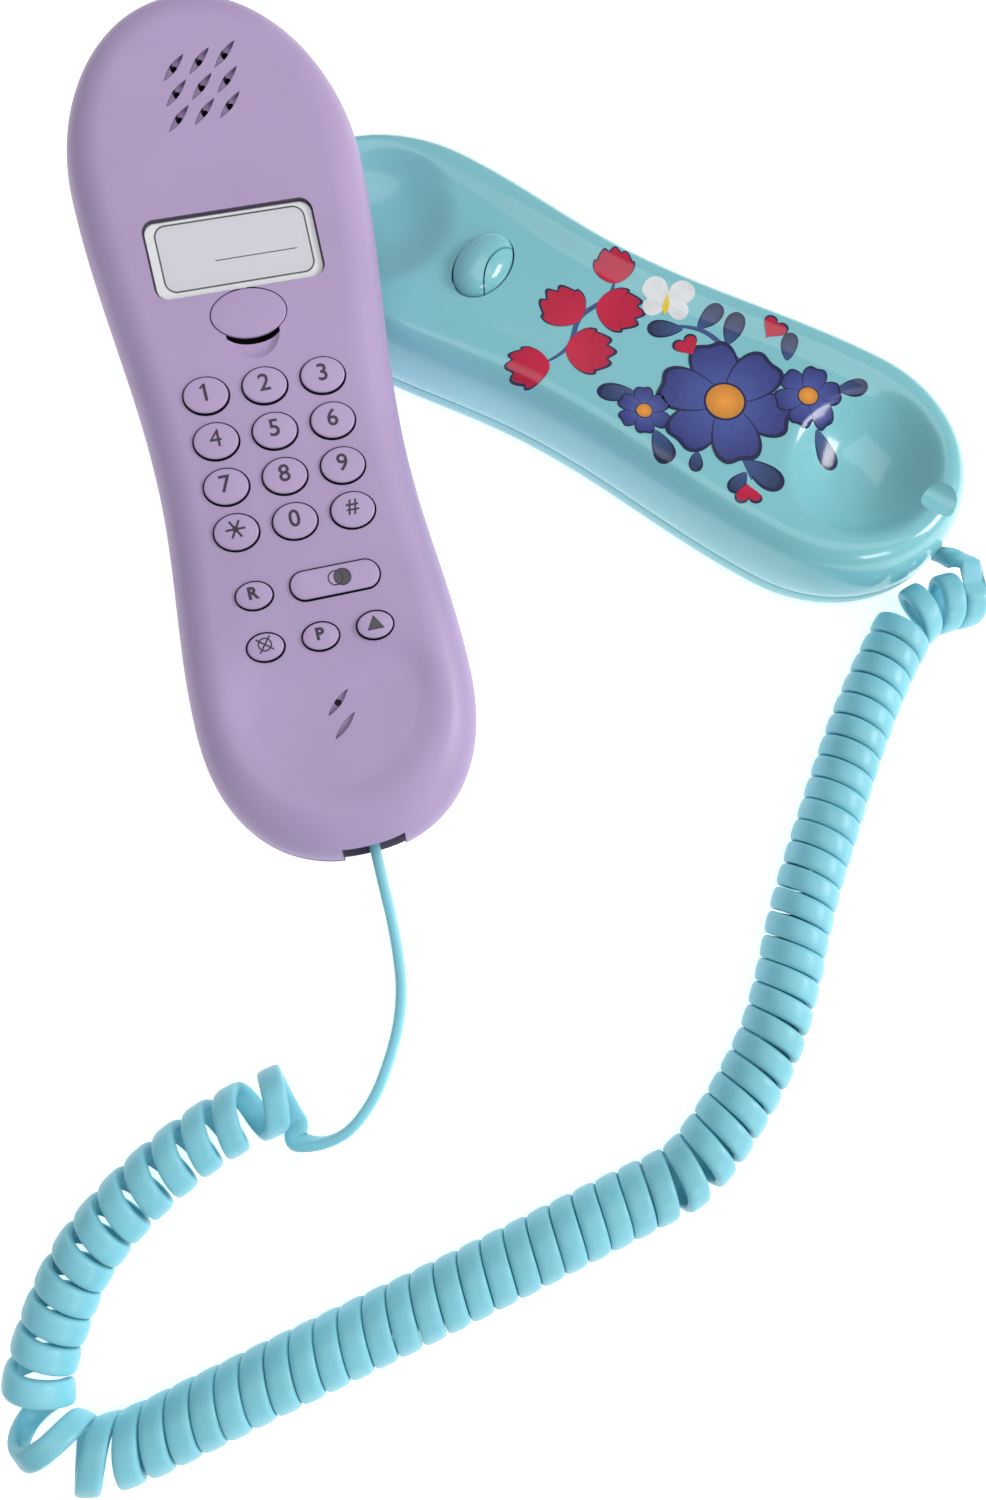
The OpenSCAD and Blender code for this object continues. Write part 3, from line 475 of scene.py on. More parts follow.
class Nodes:
    """A material's node tree with its shader, and short calls that add to it."""

    def __init__(self, name):
        self.material = bpy.data.materials.new(name)
        self.material.use_nodes = True
        self.tree = self.material.node_tree
        self.shader = self.tree.nodes["Principled BSDF"]
        self.coords = self.add("ShaderNodeTexCoord").outputs["Object"]

    def add(self, kind, values=(), **links):
        node = self.tree.nodes.new(kind)
        for key, value in dict(values).items():
            if isinstance(key, int) or key in node.inputs:
                node.inputs[key].default_value = value
            else:
                setattr(node, key, value)
        for key, output in links.items():
            self.tree.links.new(output, node.inputs[key.replace("_", " ")])
        return node

    def noise(self, scale, detail=3.0, roughness=0.5):
        node = self.add(
            "ShaderNodeTexNoise", {"Scale": scale, "Detail": detail, "Roughness": roughness},
            Vector=self.coords,
        )
        return node.outputs["Fac"]

    def spread(self, value, low, high, from_low=0.3, from_high=0.7):
        node = self.add(
            "ShaderNodeMapRange",
            {"From Min": from_low, "From Max": from_high, "To Min": low, "To Max": high},
            Value=value,
        )
        return node.outputs["Result"]

    def mixed(self, share, first, second):
        node = self.add("ShaderNodeMix", {"data_type": "RGBA"})
        self.tree.links.new(share, node.inputs[0])
        node.inputs[6].default_value = (*first, 1.0)
        node.inputs[7].default_value = (*second, 1.0)
        return node.outputs[2]

    def feed(self, socket, output):
        self.tree.links.new(output, self.shader.inputs[socket])

    def set(self, **values):
        for key, value in values.items():
            self.shader.inputs[key.replace("_", " ")].default_value = value

    def bump(self, height, distance, strength=1.0):
        node = self.add(
            "ShaderNodeBump", {"Strength": strength, "Distance": distance}, Height=height,
        )
        self.feed("Normal", node.outputs["Normal"])


def shade(tint, factor):
    return tuple(max(0.0, min(1.0, part * factor)) for part in tint)


def moulded(name, tint, rough, grain, depth, drift=0.04, coat=0.0):
    """Moulded plastic: a slow drift of tone, a fine spark-eroded grain and uneven gloss."""
    look = Nodes(name)
    tone = look.spread(look.noise(35.0, 2.0), 0.0, 1.0)
    look.feed("Base Color", look.mixed(tone, shade(tint, 1 - drift), shade(tint, 1 + drift)))
    look.feed("Roughness", look.spread(look.noise(90.0, 4.0), rough * 0.88, rough * 1.12))
    look.bump(look.noise(grain, 2.0, 0.6), depth)
    look.set(Coat_Weight=coat, Coat_Roughness=0.04)
    return look.material


def vinyl(name, tint):
    """Soft vinyl jacket, smooth with faint scuffs."""
    look = Nodes(name)
    tone = look.spread(look.noise(60.0, 3.0), 0.0, 1.0)
    look.feed("Base Color", look.mixed(tone, shade(tint, 0.94), shade(tint, 1.06)))
    look.feed("Roughness", look.spread(look.noise(240.0, 4.0), 0.32, 0.44))
    look.bump(look.noise(900.0, 3.0), 0.00002)
    look.set(Subsurface_Weight=0.08, Subsurface_Scale=0.0015)
    return look.material


def printed(name, tint, tip=None):
    """Glossy transfer ink; it pales towards the middle of a shape where a second tint is given."""
    look = Nodes(name)
    if tip:
        along = look.add("ShaderNodeAttribute", {"attribute_name": "outward"})
        mottle = look.add("ShaderNodeMath", {"operation": "MULTIPLY_ADD", 1: 0.3, 2: -0.15})
        look.tree.links.new(look.noise(700.0, 3.0), mottle.inputs[0])
        share = look.add("ShaderNodeMath", {"operation": "ADD", "use_clamp": True})
        look.tree.links.new(along.outputs["Fac"], share.inputs[0])
        look.tree.links.new(mottle.outputs[0], share.inputs[1])
        look.feed("Base Color", look.mixed(share.outputs[0], tip, tint))
    else:
        tone = look.spread(look.noise(300.0, 2.0), 0.0, 1.0)
        look.feed("Base Color", look.mixed(tone, shade(tint, 0.93), shade(tint, 1.07)))
    look.feed("Roughness", look.spread(look.noise(90.0, 4.0), 0.16, 0.22))
    look.set(Coat_Weight=0.3, Coat_Roughness=0.05)
    return look.material


def metal(name, tint, rough, brushed=400.0):
    look = Nodes(name)
    tone = look.spread(look.noise(brushed, 4.0), 0.0, 1.0)
    look.feed("Base Color", look.mixed(tone, shade(tint, 0.85), shade(tint, 1.1)))
    look.feed("Roughness", look.spread(look.noise(brushed * 2, 2.0), rough * 0.8, rough * 1.2))
    look.bump(look.noise(brushed * 3, 2.0), 0.00002)
    look.set(Metallic=1.0)
    return look.material


def clear(name, tint, alpha, rough):
    """Clear plastic film or moulding."""
    look = Nodes(name)
    tone = look.spread(look.noise(150.0, 2.0), 0.0, 1.0)
    look.feed("Base Color", look.mixed(tone, shade(tint, 0.97), shade(tint, 1.03)))
    look.feed("Roughness", look.spread(look.noise(120.0, 3.0), rough * 0.8, rough * 1.2))
    look.set(Alpha=alpha, IOR=1.49)
    return look.material


def circuit(name, tint):
    """Green board with paler tracks."""
    look = Nodes(name)
    tracks = look.add(
        "ShaderNodeTexVoronoi", {"feature": "DISTANCE_TO_EDGE", "Scale": 260.0},
        Vector=look.coords,
    )
    share = look.spread(tracks.outputs["Distance"], 1.0, 0.0, 0.02, 0.06)
    look.feed("Base Color", look.mixed(share, tint, shade(tint, 2.2)))
    look.feed("Roughness", look.spread(look.noise(120.0), 0.3, 0.45))
    look.bump(share, 0.00003)
    return look.material


def backdrop(name, tint):
    """A pale floor that glows a little, as a lit sweep does."""
    look = Nodes(name)
    tone = look.spread(look.noise(12.0, 2.0), 0.0, 1.0)
    look.feed("Base Color", look.mixed(tone, shade(tint, 0.997), shade(tint, 1.003)))
    look.set(Roughness=0.8, Emission_Color=(1, 1, 1, 1), Emission_Strength=0.62)
    return look.material


FINISHES = {}


def finish(name):
    """A finish by its name, made the first time that it is asked for."""
    if name in FINISHES:
        return FINISHES[name]
    scene = bpy.context.scene
    cradle, handset = scene.telephone_cradle, scene.telephone_handset
    keys, cord, ink = scene.telephone_keys, scene.telephone_cord, scene.telephone_print
    black = (0.012, 0.011, 0.014)
    makers = {
        "cradle_gloss": lambda: moulded(name, cradle.shell, 0.17, 1500.0, 0.000004, 0.02, 0.5),
        "handset_satin": lambda: moulded(name, handset.shell, 0.43, 2600.0, 0.000022),
        "key_plastic": lambda: moulded(name, keys.cap, 0.36, 2600.0, 0.000012),
        # lighter painted shade, for the recesses of the sound slots
        "slot_shadow": lambda: moulded(name, shade(handset.shell, 0.72), 0.6, 1500.0, 0.00001),
        # dark painted shade, for the notch, the label recess and the back shell's seam ledge
        "notch_shadow": lambda: moulded(name, shade(handset.shell, 0.24), 0.6, 1500.0, 0.00001),
        # near-black painted shade, for the walls of holes and key gaps and the depths of the
        # catch's pocket
        "painted_gap_shade": lambda: moulded(name, (0.010, 0.006, 0.014), 0.7, 1500.0, 0.00001),
        "cord_vinyl": lambda: vinyl(name, cord.jacket),
        "legend_ink": lambda: moulded(name, keys.ink, 0.6, 3000.0, 0.00001),
        "legend_grey": lambda: moulded(name, keys.grey, 0.6, 3000.0, 0.00001),
        "label_paper": lambda: moulded(name, (0.88, 0.88, 0.90), 0.6, 3000.0, 0.00001, 0.01),
        "label_tint": lambda: moulded(name, (0.70, 0.70, 0.75), 0.6, 3000.0, 0.00001, 0.01),
        "label_ink": lambda: moulded(name, (0.012, 0.012, 0.018), 0.6, 3000.0, 0.00001),
        "label_window": lambda: clear(name, (0.95, 0.96, 0.98), 0.06, 0.12),
        "clear_plug": lambda: clear(name, (0.62, 0.78, 0.82), 0.55, 0.10),
        "contact_gold": lambda: metal(name, (0.86, 0.62, 0.20), 0.25),
        "bloom_blue": lambda: printed(name, ink.petal, ink.light),
        "bloom_edge": lambda: printed(name, shade(ink.petal, 0.35)),
        "bloom_orange": lambda: printed(name, shade(ink.centre, 0.75), shade(ink.centre, 1.15)),
        "tulip_crimson": lambda: printed(name, ink.tulip, shade(ink.tulip, 1.25)),
        "leaf_navy": lambda: printed(name, ink.leaf, shade(ink.leaf, 2.4)),
        "print_white": lambda: printed(name, ink.white),
        "print_yellow": lambda: printed(name, ink.yellow),
        "black_plastic": lambda: moulded(name, black, 0.45, 1800.0, 0.00001),
        "capsule_plastic": lambda: moulded(name, black, 0.5, 1800.0, 0.00001),
        "circuit_board": lambda: circuit(name, (0.02, 0.16, 0.05)),
        "brass": lambda: metal(name, (0.74, 0.52, 0.20), 0.3),
        "weight_steel": lambda: metal(name, (0.25, 0.25, 0.26), 0.55),
        "grey_rubber": lambda: moulded(name, (0.055, 0.055, 0.06), 0.75, 1200.0, 0.00004, 0.1),
        "screw_steel": lambda: metal(name, (0.62, 0.63, 0.65), 0.3),
        "spring_steel": lambda: metal(name, (0.52, 0.53, 0.55), 0.28),
        "keypad_rubber": lambda: moulded(name, (0.55, 0.54, 0.51), 0.65, 1200.0, 0.00002),
        "foam_rubber": lambda: moulded(name, (0.02, 0.02, 0.022), 0.85, 700.0, 0.0001, 0.2),
        "capsule_metal": lambda: metal(name, (0.75, 0.76, 0.77), 0.35),
        "floor": lambda: backdrop(name, scene.telephone_stage.floor),
    }
    FINISHES[name] = makers[name]()
    return FINISHES[name]


# ---- cord --------------------------------------------------------------------------------

COIL_ROUTE = [
    (0.1039, -0.0096), (0.101, -0.0126), (0.0974, -0.0166), (0.095, -0.0224), (0.0948, -0.0283),
    (0.095, -0.037), (0.096, -0.049), (0.0978, -0.062), (0.0998, -0.074), (0.1022, -0.088),
    (0.1046, -0.099), (0.1076, -0.11), (0.11, -0.122), (0.1104, -0.134), (0.1095, -0.146),
    (0.1072, -0.156), (0.102, -0.164), (0.094, -0.1755), (0.085, -0.1887), (0.075, -0.203),
    (0.065, -0.217), (0.055, -0.231), (0.0455, -0.2445), (0.037, -0.256), (0.0295, -0.262),
    (0.0205, -0.262), (0.0145, -0.2555), (0.011, -0.2455), (0.0091, -0.235), (0.0097, -0.225),
    (0.0124, -0.2135), (0.0163, -0.203), (0.0208, -0.1945), (0.026, -0.187),
]
# From this point of the route on the curls stand further apart
PULLED_FROM, PULLED_APART = 28, 0.17
# Steps between two points of a route, and how many either way a direction and a bend look
ROUTE_STEPS, DIRECTION_REACH, BEND_REACH = 8, 4, 3
# How far the last curl leans out, on its way into the lead
LAST_LEAN = 4
LEAST_STEP = 0.3
BASE_LEAD_ROUTE = [(0.0953, -0.0035, 0.0091), (0.0981, -0.0041, 0.0115)]
HANDSET_LEAD_ROUTE = [
    (0.0338, -0.1924, 0.0025), (0.0388, -0.19, 0.0026), (0.0423, -0.1848, 0.00255),
    (0.0432, -0.177, 0.00255), (0.042, -0.169, 0.00255), (0.0396, -0.161, 0.00255),
    (0.036, -0.154, 0.0026), (0.0314, -0.148, 0.0028), (0.0264, -0.1424, 0.0035),
    (0.0219, -0.1378, 0.0049),
]
UP = Vector((0, 0, 1))
CORD_EXIT = Vector((87.6, -3.0, 7.4))
HANDSET_PLUG_X = 88.6
HANDSET_JACK = (1.4, -11.2)
TURN_RINGS = 32
CORD_SIDES = 20
CORD_SQUARE = 3.2


def in_mm(route):
    return [Vector(p) / MM for p in route]


def through(points, steps):
    """A smooth curve through the points."""
    line = []
    last = len(points) - 1
    for j in range(last):
        b, c = points[j], points[j + 1]
        a = points[j - 1] if j else 2 * b - c
        d = points[j + 2] if j + 1 < last else 2 * c - b
        for k in range(steps):
            t = k / steps
            line.append(0.5 * (
                2 * b + (c - a) * t + (2 * a - 5 * b + 4 * c - d) * t * t
                + (3 * b - a - 3 * c + d) * t ** 3
            ))
    return line + [points[last]]


def cord_ring(centre, wide, thin, width, thickness):
    """One ring of the flat cord, with round edges."""
    ring = []
    for a in angles(CORD_SIDES):
        across = math.copysign(abs(math.cos(a)) ** (2 / CORD_SQUARE), math.cos(a))
        through_it = math.copysign(abs(math.sin(a)) ** (2 / CORD_SQUARE), math.sin(a))
        ring.append(centre + wide * (across * width / 2) + thin * (through_it * thickness / 2))
    return ring


class Coil:
    """The curls' centreline: a helix round a curved axis that lies on the table."""

    def __init__(self, sizes):
        self.width, self.thickness = sizes.width / MM, sizes.thickness / MM
        self.curled = self.width + sizes.spread / MM
        self.height = sizes.curl / MM / 2 + 0.05
        self.radius = (sizes.curl / MM - self.thickness) / 2
        self.turns = sizes.curls - 0.5
        self.axis = through([p.to_3d() for p in in_mm(COIL_ROUTE)], ROUTE_STEPS)
        count = len(self.axis)
        self.along = [self.direction(i) for i in range(count)]
        reach = self.radius + self.thickness / 3
        run = [0.0]
        for i in range(count - 1):
            step = (self.axis[i + 1] - self.axis[i]).length
            step *= 1 - PULLED_APART * ease((i / ROUTE_STEPS - PULLED_FROM) / 2)
            run.append(run[-1] + step * max(LEAST_STEP, 1 - reach * self.bend(i)))
        self.phase = [r / run[-1] * self.turns for r in run]

    def direction(self, i):
        last = len(self.axis) - 1
        low, high = max(0, i - DIRECTION_REACH), min(last, i + DIRECTION_REACH)
        return (self.axis[high] - self.axis[low]).normalized()

    def bend(self, i):
        """Turn of the axis per millimetre."""
        low, high = max(0, i - BEND_REACH), min(len(self.axis) - 1, i + BEND_REACH)
        run = (self.axis[high] - self.axis[low]).length
        return self.along[low].angle(self.along[high]) / run

    def frame(self, turns):
        """Centre of the cord, its radial direction and the axis direction."""
        f = float(np.interp(turns, self.phase, range(len(self.phase))))
        i = min(len(self.axis) - 2, int(f))
        centre = self.axis[i].lerp(self.axis[i + 1], f - i)
        along = self.along[i].lerp(self.along[i + 1], f - i).normalized()
        angle = math.pi / 2 - 2 * math.pi * turns
        radial = Vector((-along.y * math.cos(angle), along.x * math.cos(angle), math.sin(angle)))
        last = turns - self.turns + 1
        lean = LAST_LEAN * math.sin(math.pi * last) ** 2 if last > 0 else 0.0
        place = Vector((centre.x, centre.y, self.height)) + self.radius * radial + lean * along
        return place, radial

    def rings(self):
        """The rings of the curls with a straight stub at each end, and their centres."""
        steps = round(self.turns * TURN_RINGS)
        frames = [self.frame(self.turns * k / steps) for k in range(steps + 1)]
        centres = [c for c, _ in frames]
        start_run = Vector((centres[1] - centres[0]).to_2d().to_3d()).normalized()
        end_run = Vector((centres[-1] - centres[-2]).to_2d().to_3d()).normalized()
        self.start = centres[0] - start_run * self.width
        self.end = centres[-1] + end_run * self.width
        self.start_run, self.end_run = start_run, end_run
        rings, path = [], []
        for k in range(1, steps):
            run = (centres[k + 1] - centres[k - 1]).normalized()
            radial = frames[k][1]
            thin = (radial - run * radial.dot(run)).normalized()
            rings.append(self.ring(centres[k], run.cross(thin), thin, self.curled))
            path.append(centres[k])
        for share in (0.15, 1.0):
            at = centres[-1] + end_run * self.width * share
            rings.append(self.ring(at, end_run.cross(-UP), -UP))
            path.append(at)
        return rings, path

    def ring(self, centre, wide, thin, width=None):
        return cord_ring(centre, wide, thin, width or self.width, self.thickness)


def lead_rings(points, wide_a, wide_b, start, stop, coil):
    """Rings of a flat lead, whose wide direction turns between two shares of its length."""
    rings = []
    last = len(points) - 1
    for k, centre in enumerate(points):
        run = (points[min(last, k + 1)] - points[max(0, k - 1)]).normalized()
        wide = wide_a.lerp(wide_b, ease((k / last - start) / (stop - start)))
        wide = (wide - run * wide.dot(run)).normalized()
        rings.append(coil.ring(centre, wide, run.cross(wide)))
    return rings


class TELEPHONE_OT_curly_cord(bpy.types.Operator):
    """Makes the curly cord with its lead at the cradle, and the lead at the handset"""

    bl_idname = "telephone.curly_cord"
    bl_label = "Curly cord"

    def execute(self, context):
        coil = Coil(context.scene.telephone_cord)
        rings, path = coil.rings()
        route = [CORD_EXIT + Vector((coil.width, 0, 0)), *in_mm(BASE_LEAD_ROUTE)]
        near = coil.start - coil.start_run * 1.6
        lead = [CORD_EXIT, *through([*route, near], ROUTE_STEPS), coil.start]
        wide = coil.start_run.cross(UP)
        head = lead_rings(lead, -UP, wide, 0.1, 0.85, coil)
        skin = closed_up(loft(head + rings))
        jacket = [finish("cord_vinyl")]
        curls = piece("curly_cord", skin, "base", jacket,
                      replaces=("cord_coil", "cord_base_lead"), sharp=60)
        self.handset_lead(coil, jacket)
        return {"FINISHED"}

    def handset_lead(self, coil, jacket):
        jack_y, jack_z = HANDSET_JACK
        place = Handset.PLACE
        far = place @ (Vector((HANDSET_PLUG_X, jack_y, jack_z)) * MM) / MM
        near = place @ (Vector((HANDSET_PLUG_X + coil.width, jack_y, jack_z)) * MM) / MM
        first = [coil.end + coil.end_run * 0.8, coil.end + coil.end_run * 1.8 + UP * 0.12]
        line = [coil.end, *through([*first, *in_mm(HANDSET_LEAD_ROUTE), near], ROUTE_STEPS), far]
        rings = lead_rings(line, coil.end_run.cross(-UP), -UP, 0.06, 0.34, coil)
        lead = piece("handset_lead", closed_up(loft(rings)), None, jacket,
                     replaces=("cord_handset_lead",), sharp=60)
        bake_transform(lead)

    @staticmethod
    def measure(line):
        return round(sum((b - a).length for a, b in zip(line, line[1:])) * MM, 3)


# ---- cradle ------------------------------------------------------------------------------

HOOK_AT = (-34.6, 0.6)
HOOK_SIZE = (12.6, 18.6)
HOOK_RISE, HOOK_FOOT = 4.5, 7.2
TAB_LOWER, TAB_FOOT = 0.4, 6.0
TAB_SPLIT_R, TAB_SPLIT_X = 11.0, 2.2
SCREWS_AT = [(-50, 19), (-50, -19), (48, 19.5), (48, -19.5)]
FEET_AT = [(-76, 11), (-76, -11), (76, 13), (76, -13)]
KEYHOLES_X = (-50, 33)
JACK_FRONT, JACK_Z, JACK_DEPTH = 87.0, 7.4, 13.5
# Each socket's place across the end, its width and height
SOCKETS = [(-3.0, 7.0, 8.2), (9.0, 9.8, 6.8)]
SCREW_R, FOOT_R, FOOT_SEAT = 3.1, 5.2, 0.7
KEYHOLE_R, KEYSLOT_W, KEYSLOT_LEN = 4.2, 4.4, 8
RELIEF_R, RELIEF_LIFT = 4.4, 2.2
RINGER_SLOTS_X, RINGER_SLOT = (-77, -73, -69), (1.6, 10)
# Insets of the rings over the deck, closer where it curves down behind the rim
DECK_INSETS = [7.0, 7.6, 8.2, 8.9, 9.6, 10.4, 11.2, 12, 12.8, 13.6, 14.6, 15.8, 17.2, 18.6]
INNER_INSETS = (15, 11, 8, 4.3, 1.6, 0.3)


def peanut_rings(outline, inset_list, height):
    """Rings of an outline drawn in step by step: height takes x, y and the inset."""
    return [
        [(x, y, height(x, y, i)) for x, y in (outline.point(a, i) for a in angles(OUTLINE_POINTS))]
        for i in inset_list
    ]


def spine_rings(outline, inset, shares, height):
    return [
        [
            (x, y, height(x, y, inset))
            for x, y in (outline.spine(a, inset, s) for a in angles(OUTLINE_POINTS))
        ]
        for s in shares
    ]


def socket_rooms():
    """What the two sockets take out of the cradle's end wall."""
    rooms = []
    for y, wide, high in SOCKETS:
        plan = round_box(wide + 0.8, high + 0.8, 0.6, 32)
        turn = Matrix(((0, 0, 1, 0), (0, 1, 0, y), (-1, 0, 0, JACK_Z), (0, 0, 0, 1)))
        rooms.append(prism(plan, JACK_FRONT - JACK_DEPTH, JACK_FRONT + 12, turn))
    return rooms


class TELEPHONE_OT_cradle(bpy.types.Operator):
    """Makes the cradle's top and bottom shells"""

    bl_idname = "telephone.cradle"
    bl_label = "Cradle shells"

    def execute(self, context):
        cradle = Cradle(context.scene.telephone_cradle)
        gloss = [finish("cradle_gloss")]
        self.top(cradle, gloss)
        self.bottom(cradle, gloss)
        return {"FINISHED"}

    def top(self, cradle, gloss):
        out, split = cradle.outline, cradle.split
        edge = [cradle.rim_r * (1 - math.cos(a)) for a in quarter(EDGE_STEPS)]
        shares = [0.1 * k for k in range(1, 11)]
        inner = peanut_rings(out, [WALL + i for i in INNER_INSETS],
                             lambda x, y, i: cradle.deck(x, y, i - WALL) - WALL)
        middle = spine_rings(out, 19.4, (1.0, 0.5, 0.0),
                             lambda x, y, i: cradle.deck(x, y, 17) - WALL)
        lip = [
            (WALL, split), (LIP_ROUND, split),
            (LIP_ROUND * 0.3, split + LIP_ROUND * 0.3), (0.0, split + LIP_ROUND),
        ]
        rings = middle + inner
        rings += [r for i, z in lip for r in peanut_rings(out, [i], lambda x, y, _i: z)]
        rings += peanut_rings(out, edge + DECK_INSETS, cradle.deck)
        rings += spine_rings(out, DECK_INSETS[-1], shares, cradle.deck)
        shell = closed_up(loft(rings))
        opening = [(x + HOOK_AT[0], y + HOOK_AT[1]) for x, y in
                   oval(HOOK_SIZE[1] + 2 * RUN_GAP, HOOK_SIZE[0] + 2 * RUN_GAP, FINE)]
        at = Matrix.Translation((out.half - 6, 0, cradle.rim + RELIEF_LIFT))
        relief = placed(rod(RELIEF_R, -8, 8), at @ Matrix.Rotation(math.pi / 2, 4, "Y"))
        tools = [prism(opening, cradle.deck_top - 8, cradle.deck_top + 8), relief, *socket_rooms()]
        piece("cradle_top", carve(shell, tools), "base", gloss,
              replaces=("cradle_top_shell",), sharp=40)

    def bottom(self, cradle, gloss):
        out, top = cradle.outline, cradle.split - SEAM
        under = [cradle.bottom_r * (1 - math.cos(a)) for a in quarter(8)] + [6, 10, 15, 19]
        lip = [
            (WALL, top), (LIP_ROUND, top), (LIP_ROUND * 0.3, top - LIP_ROUND * 0.3),
            (0.0, top - LIP_ROUND),
        ]
        flat = cradle.base_clear + WALL
        rings = spine_rings(out, 16 + WALL, (1.0, 0.5, 0.0), lambda x, y, i: flat)
        rings += peanut_rings(out, [8 + WALL, 3.5 + WALL, 1 + WALL, 0.2 + WALL],
                              lambda x, y, i: cradle.base(i - WALL) + WALL)
        rings += [r for i, z in lip for r in peanut_rings(out, [i], lambda x, y, _i: z)]
        rings += peanut_rings(out, under, lambda x, y, i: cradle.base(i))
        rings += spine_rings(out, 19, (0.5, 1.0), lambda x, y, i: cradle.base_clear)
        shell = closed_up(loft(rings))
        land_plan = moved(round_box(20, KEYHOLES_X[1] - KEYHOLES_X[0] + 19, 1.5), -11.5, 0)
        shell = carve(shell, [prism(land_plan, 0, cradle.base_clear + WALL / 2)], "UNION")
        tools = [rod(SCREW_R, -1, 4.6, p) for p in SCREWS_AT]
        tools += [rod(FOOT_R, -1, cradle.base_clear + FOOT_SEAT, p) for p in FEET_AT]
        tools += [rod(KEYHOLE_R, -1, 7, (x, 0)) for x in KEYHOLES_X]
        wide, long = RINGER_SLOT
        tools += [block((x - wide / 2, -long / 2, -6), (x + wide / 2, long / 2, 6))
                  for x in RINGER_SLOTS_X]
        shell = carve(shell, tools + socket_rooms())
        slot = round_box(KEYSLOT_W, KEYSLOT_LEN + KEYSLOT_W / 2, 2.1, 48)
        slots = [prism(moved(slot, x - 5.1, 0), -1, 7) for x in KEYHOLES_X]
        piece("cradle_bottom", carve(shell, slots), "base", gloss,
              replaces=("cradle_bottom_shell",), sharp=40)


def hook_dome(rise, foot, top):
    """The hook's smooth oval hump on a straight foot."""
    wide, high = HOOK_SIZE[1], HOOK_SIZE[0]
    plan = oval(wide, high, FINE)
    rings = [[(x, y, top - foot) for x, y in plan]]
    rings += [
        [(x * math.cos(a), y * math.cos(a), top + rise * math.sin(a)) for x, y in plan]
        for a in quarter(20)
    ]
    dome = closed_up(loft(rings))
    bmesh.ops.translate(dome, vec=(*HOOK_AT, 0), verts=dome.verts)
    return dome


class TELEPHONE_OT_hook(bpy.types.Operator):
    """Makes the sprung hook and the fixed crescent beside it"""

    bl_idname = "telephone.hook"
    bl_label = "Hook"

    def execute(self, context):
        cradle = Cradle(context.scene.telephone_cradle)
        gloss = [finish("cradle_gloss")]
        split_x = HOOK_AT[0] + TAB_SPLIT_X + TAB_SPLIT_R
        for name, node, body, rise, foot, shift, cut in (
            ("hook", "hook_plunger", "hook", HOOK_RISE, HOOK_FOOT, -RUN_GAP, "DIFFERENCE"),
            ("hook_tab", "hanger_tab", "base", HOOK_RISE - TAB_LOWER, TAB_FOOT, 0.0, "INTERSECT"),
        ):
            zone = rod(TAB_SPLIT_R, -5, 55, (split_x + shift, HOOK_AT[1]), 160)
            made = carve(hook_dome(rise, foot, cradle.deck_top), [zone], cut)
            made = piece(name, made, body, gloss, replaces=(node,), sharp=50)
            soften(made, 0.45)
        return {"FINISHED"}


def soften(made, width, segments=3):
    """Rounds a piece's sharp edges."""
    bevel = made.modifiers.new("soften", "BEVEL")
    bevel.width = width * MM
    bevel.segments = segments
    bevel.limit_method = "ANGLE"
    bevel.angle_limit = math.radians(50)
    bevel.harden_normals = True


# ---- print on the deck -------------------------------------------------------------------

PRINT_LIFT, PRINT_STEP = 0.028, 0.003
STEM_W = 1.3
TULIP_STEM = [(-9.5, -17), (-6, -8.5), (-7.5, 0), (-4.5, 8), (-5.5, 14)]
# Place, direction in degrees and length
TULIPS = (
    (-7.2, -15, -145, 9.8), (-6.0, -9.4, 28, 11.0), (-7.3, -1.4, 160, 10.6),
    (-5.6, 4.6, 20, 10.8), (-5.4, 12.0, 115, 8.8),
)
STEMS = (
    [(16, -13), (19, -14.5), (28, -12), (34, -4)], [(10, 8), (20, 11.5), (34, 8), (47, 10)],
    [(34, -4), (42, -12), (47, -17)],
)
LEAVES = (
    (13.5, -11, -150, 8.5), (15, 9.6, -150, 8.0), (18, 11.5, 75, 7.5), (26, 11.2, 100, 8.0),
    (40, 14.5, 110, 6.5), (54, 3.5, -25, 8.5), (53.5, 13.5, 40, 7.0), (43.5, -13.5, -10, 10.0),
    (45, -16, -95, 6.5), (22, -17.5, -40, 8.5), (33, -17, -70, 5.5),
)
# Place, radius and turn
BLOOMS = (((32.5, -2.5), 16.4, 12), ((48.5, 8.6), 8.2, 40), ((17.5, -14.2), 6.6, 0))
HEARTS = ((20.5, 4.6, 150), (46.5, -18.5, -60), (33, 17.2, 80))
BUTTERFLY_AT, BUTTERFLY_TURN = (8.5, 13.2), 110


def petal_plan(length, wide, notch=0.0, count=40):
    """A petal along x from its root: round at the tip, with a notch if asked."""
    plan = []
    for a in angles(count):
        x = 0.5 - 0.5 * math.cos(a)
        y = 0.5 * math.sin(a) * (0.35 + 0.65 * x) * (1.25 - 0.25 * x)
        tip = notch * max(0.0, math.cos((y / 0.5) * math.pi / 2)) ** 4 * max(0.0, 2 * x - 1) ** 3
        plan.append(((x - tip) * length, y * wide * 1.35))
    return plan


def heart_plan(wide, count=48):
    """A plain heart with its point at the root and its lobes along x."""
    plan = []
    for a in angles(count):
        y = math.sin(a) ** 3
        x = (13 * math.cos(a) - 5 * math.cos(2 * a) - 2 * math.cos(3 * a) - math.cos(4 * a)) / 17
        plan.append(((x + 1) * wide / 2, y * wide / 2))
    return plan


def tulip_plan(length, count=60):
    """A tulip's cup along x, with three points."""
    plan = []
    for a in angles(count):
        y = 0.46 * math.sin(a) * (1.05 - 0.12 * math.cos(2 * a))
        x = -0.5 * math.cos(a)
        crown = 0.16 * abs(math.cos(3.3 * y * math.pi)) - 0.13
        tip = (crown if x > 0.05 else 0.0) * min(1.0, (x - 0.05) * 6)
        plan.append(((x + 0.5 + tip) * length, y * length))
    return plan


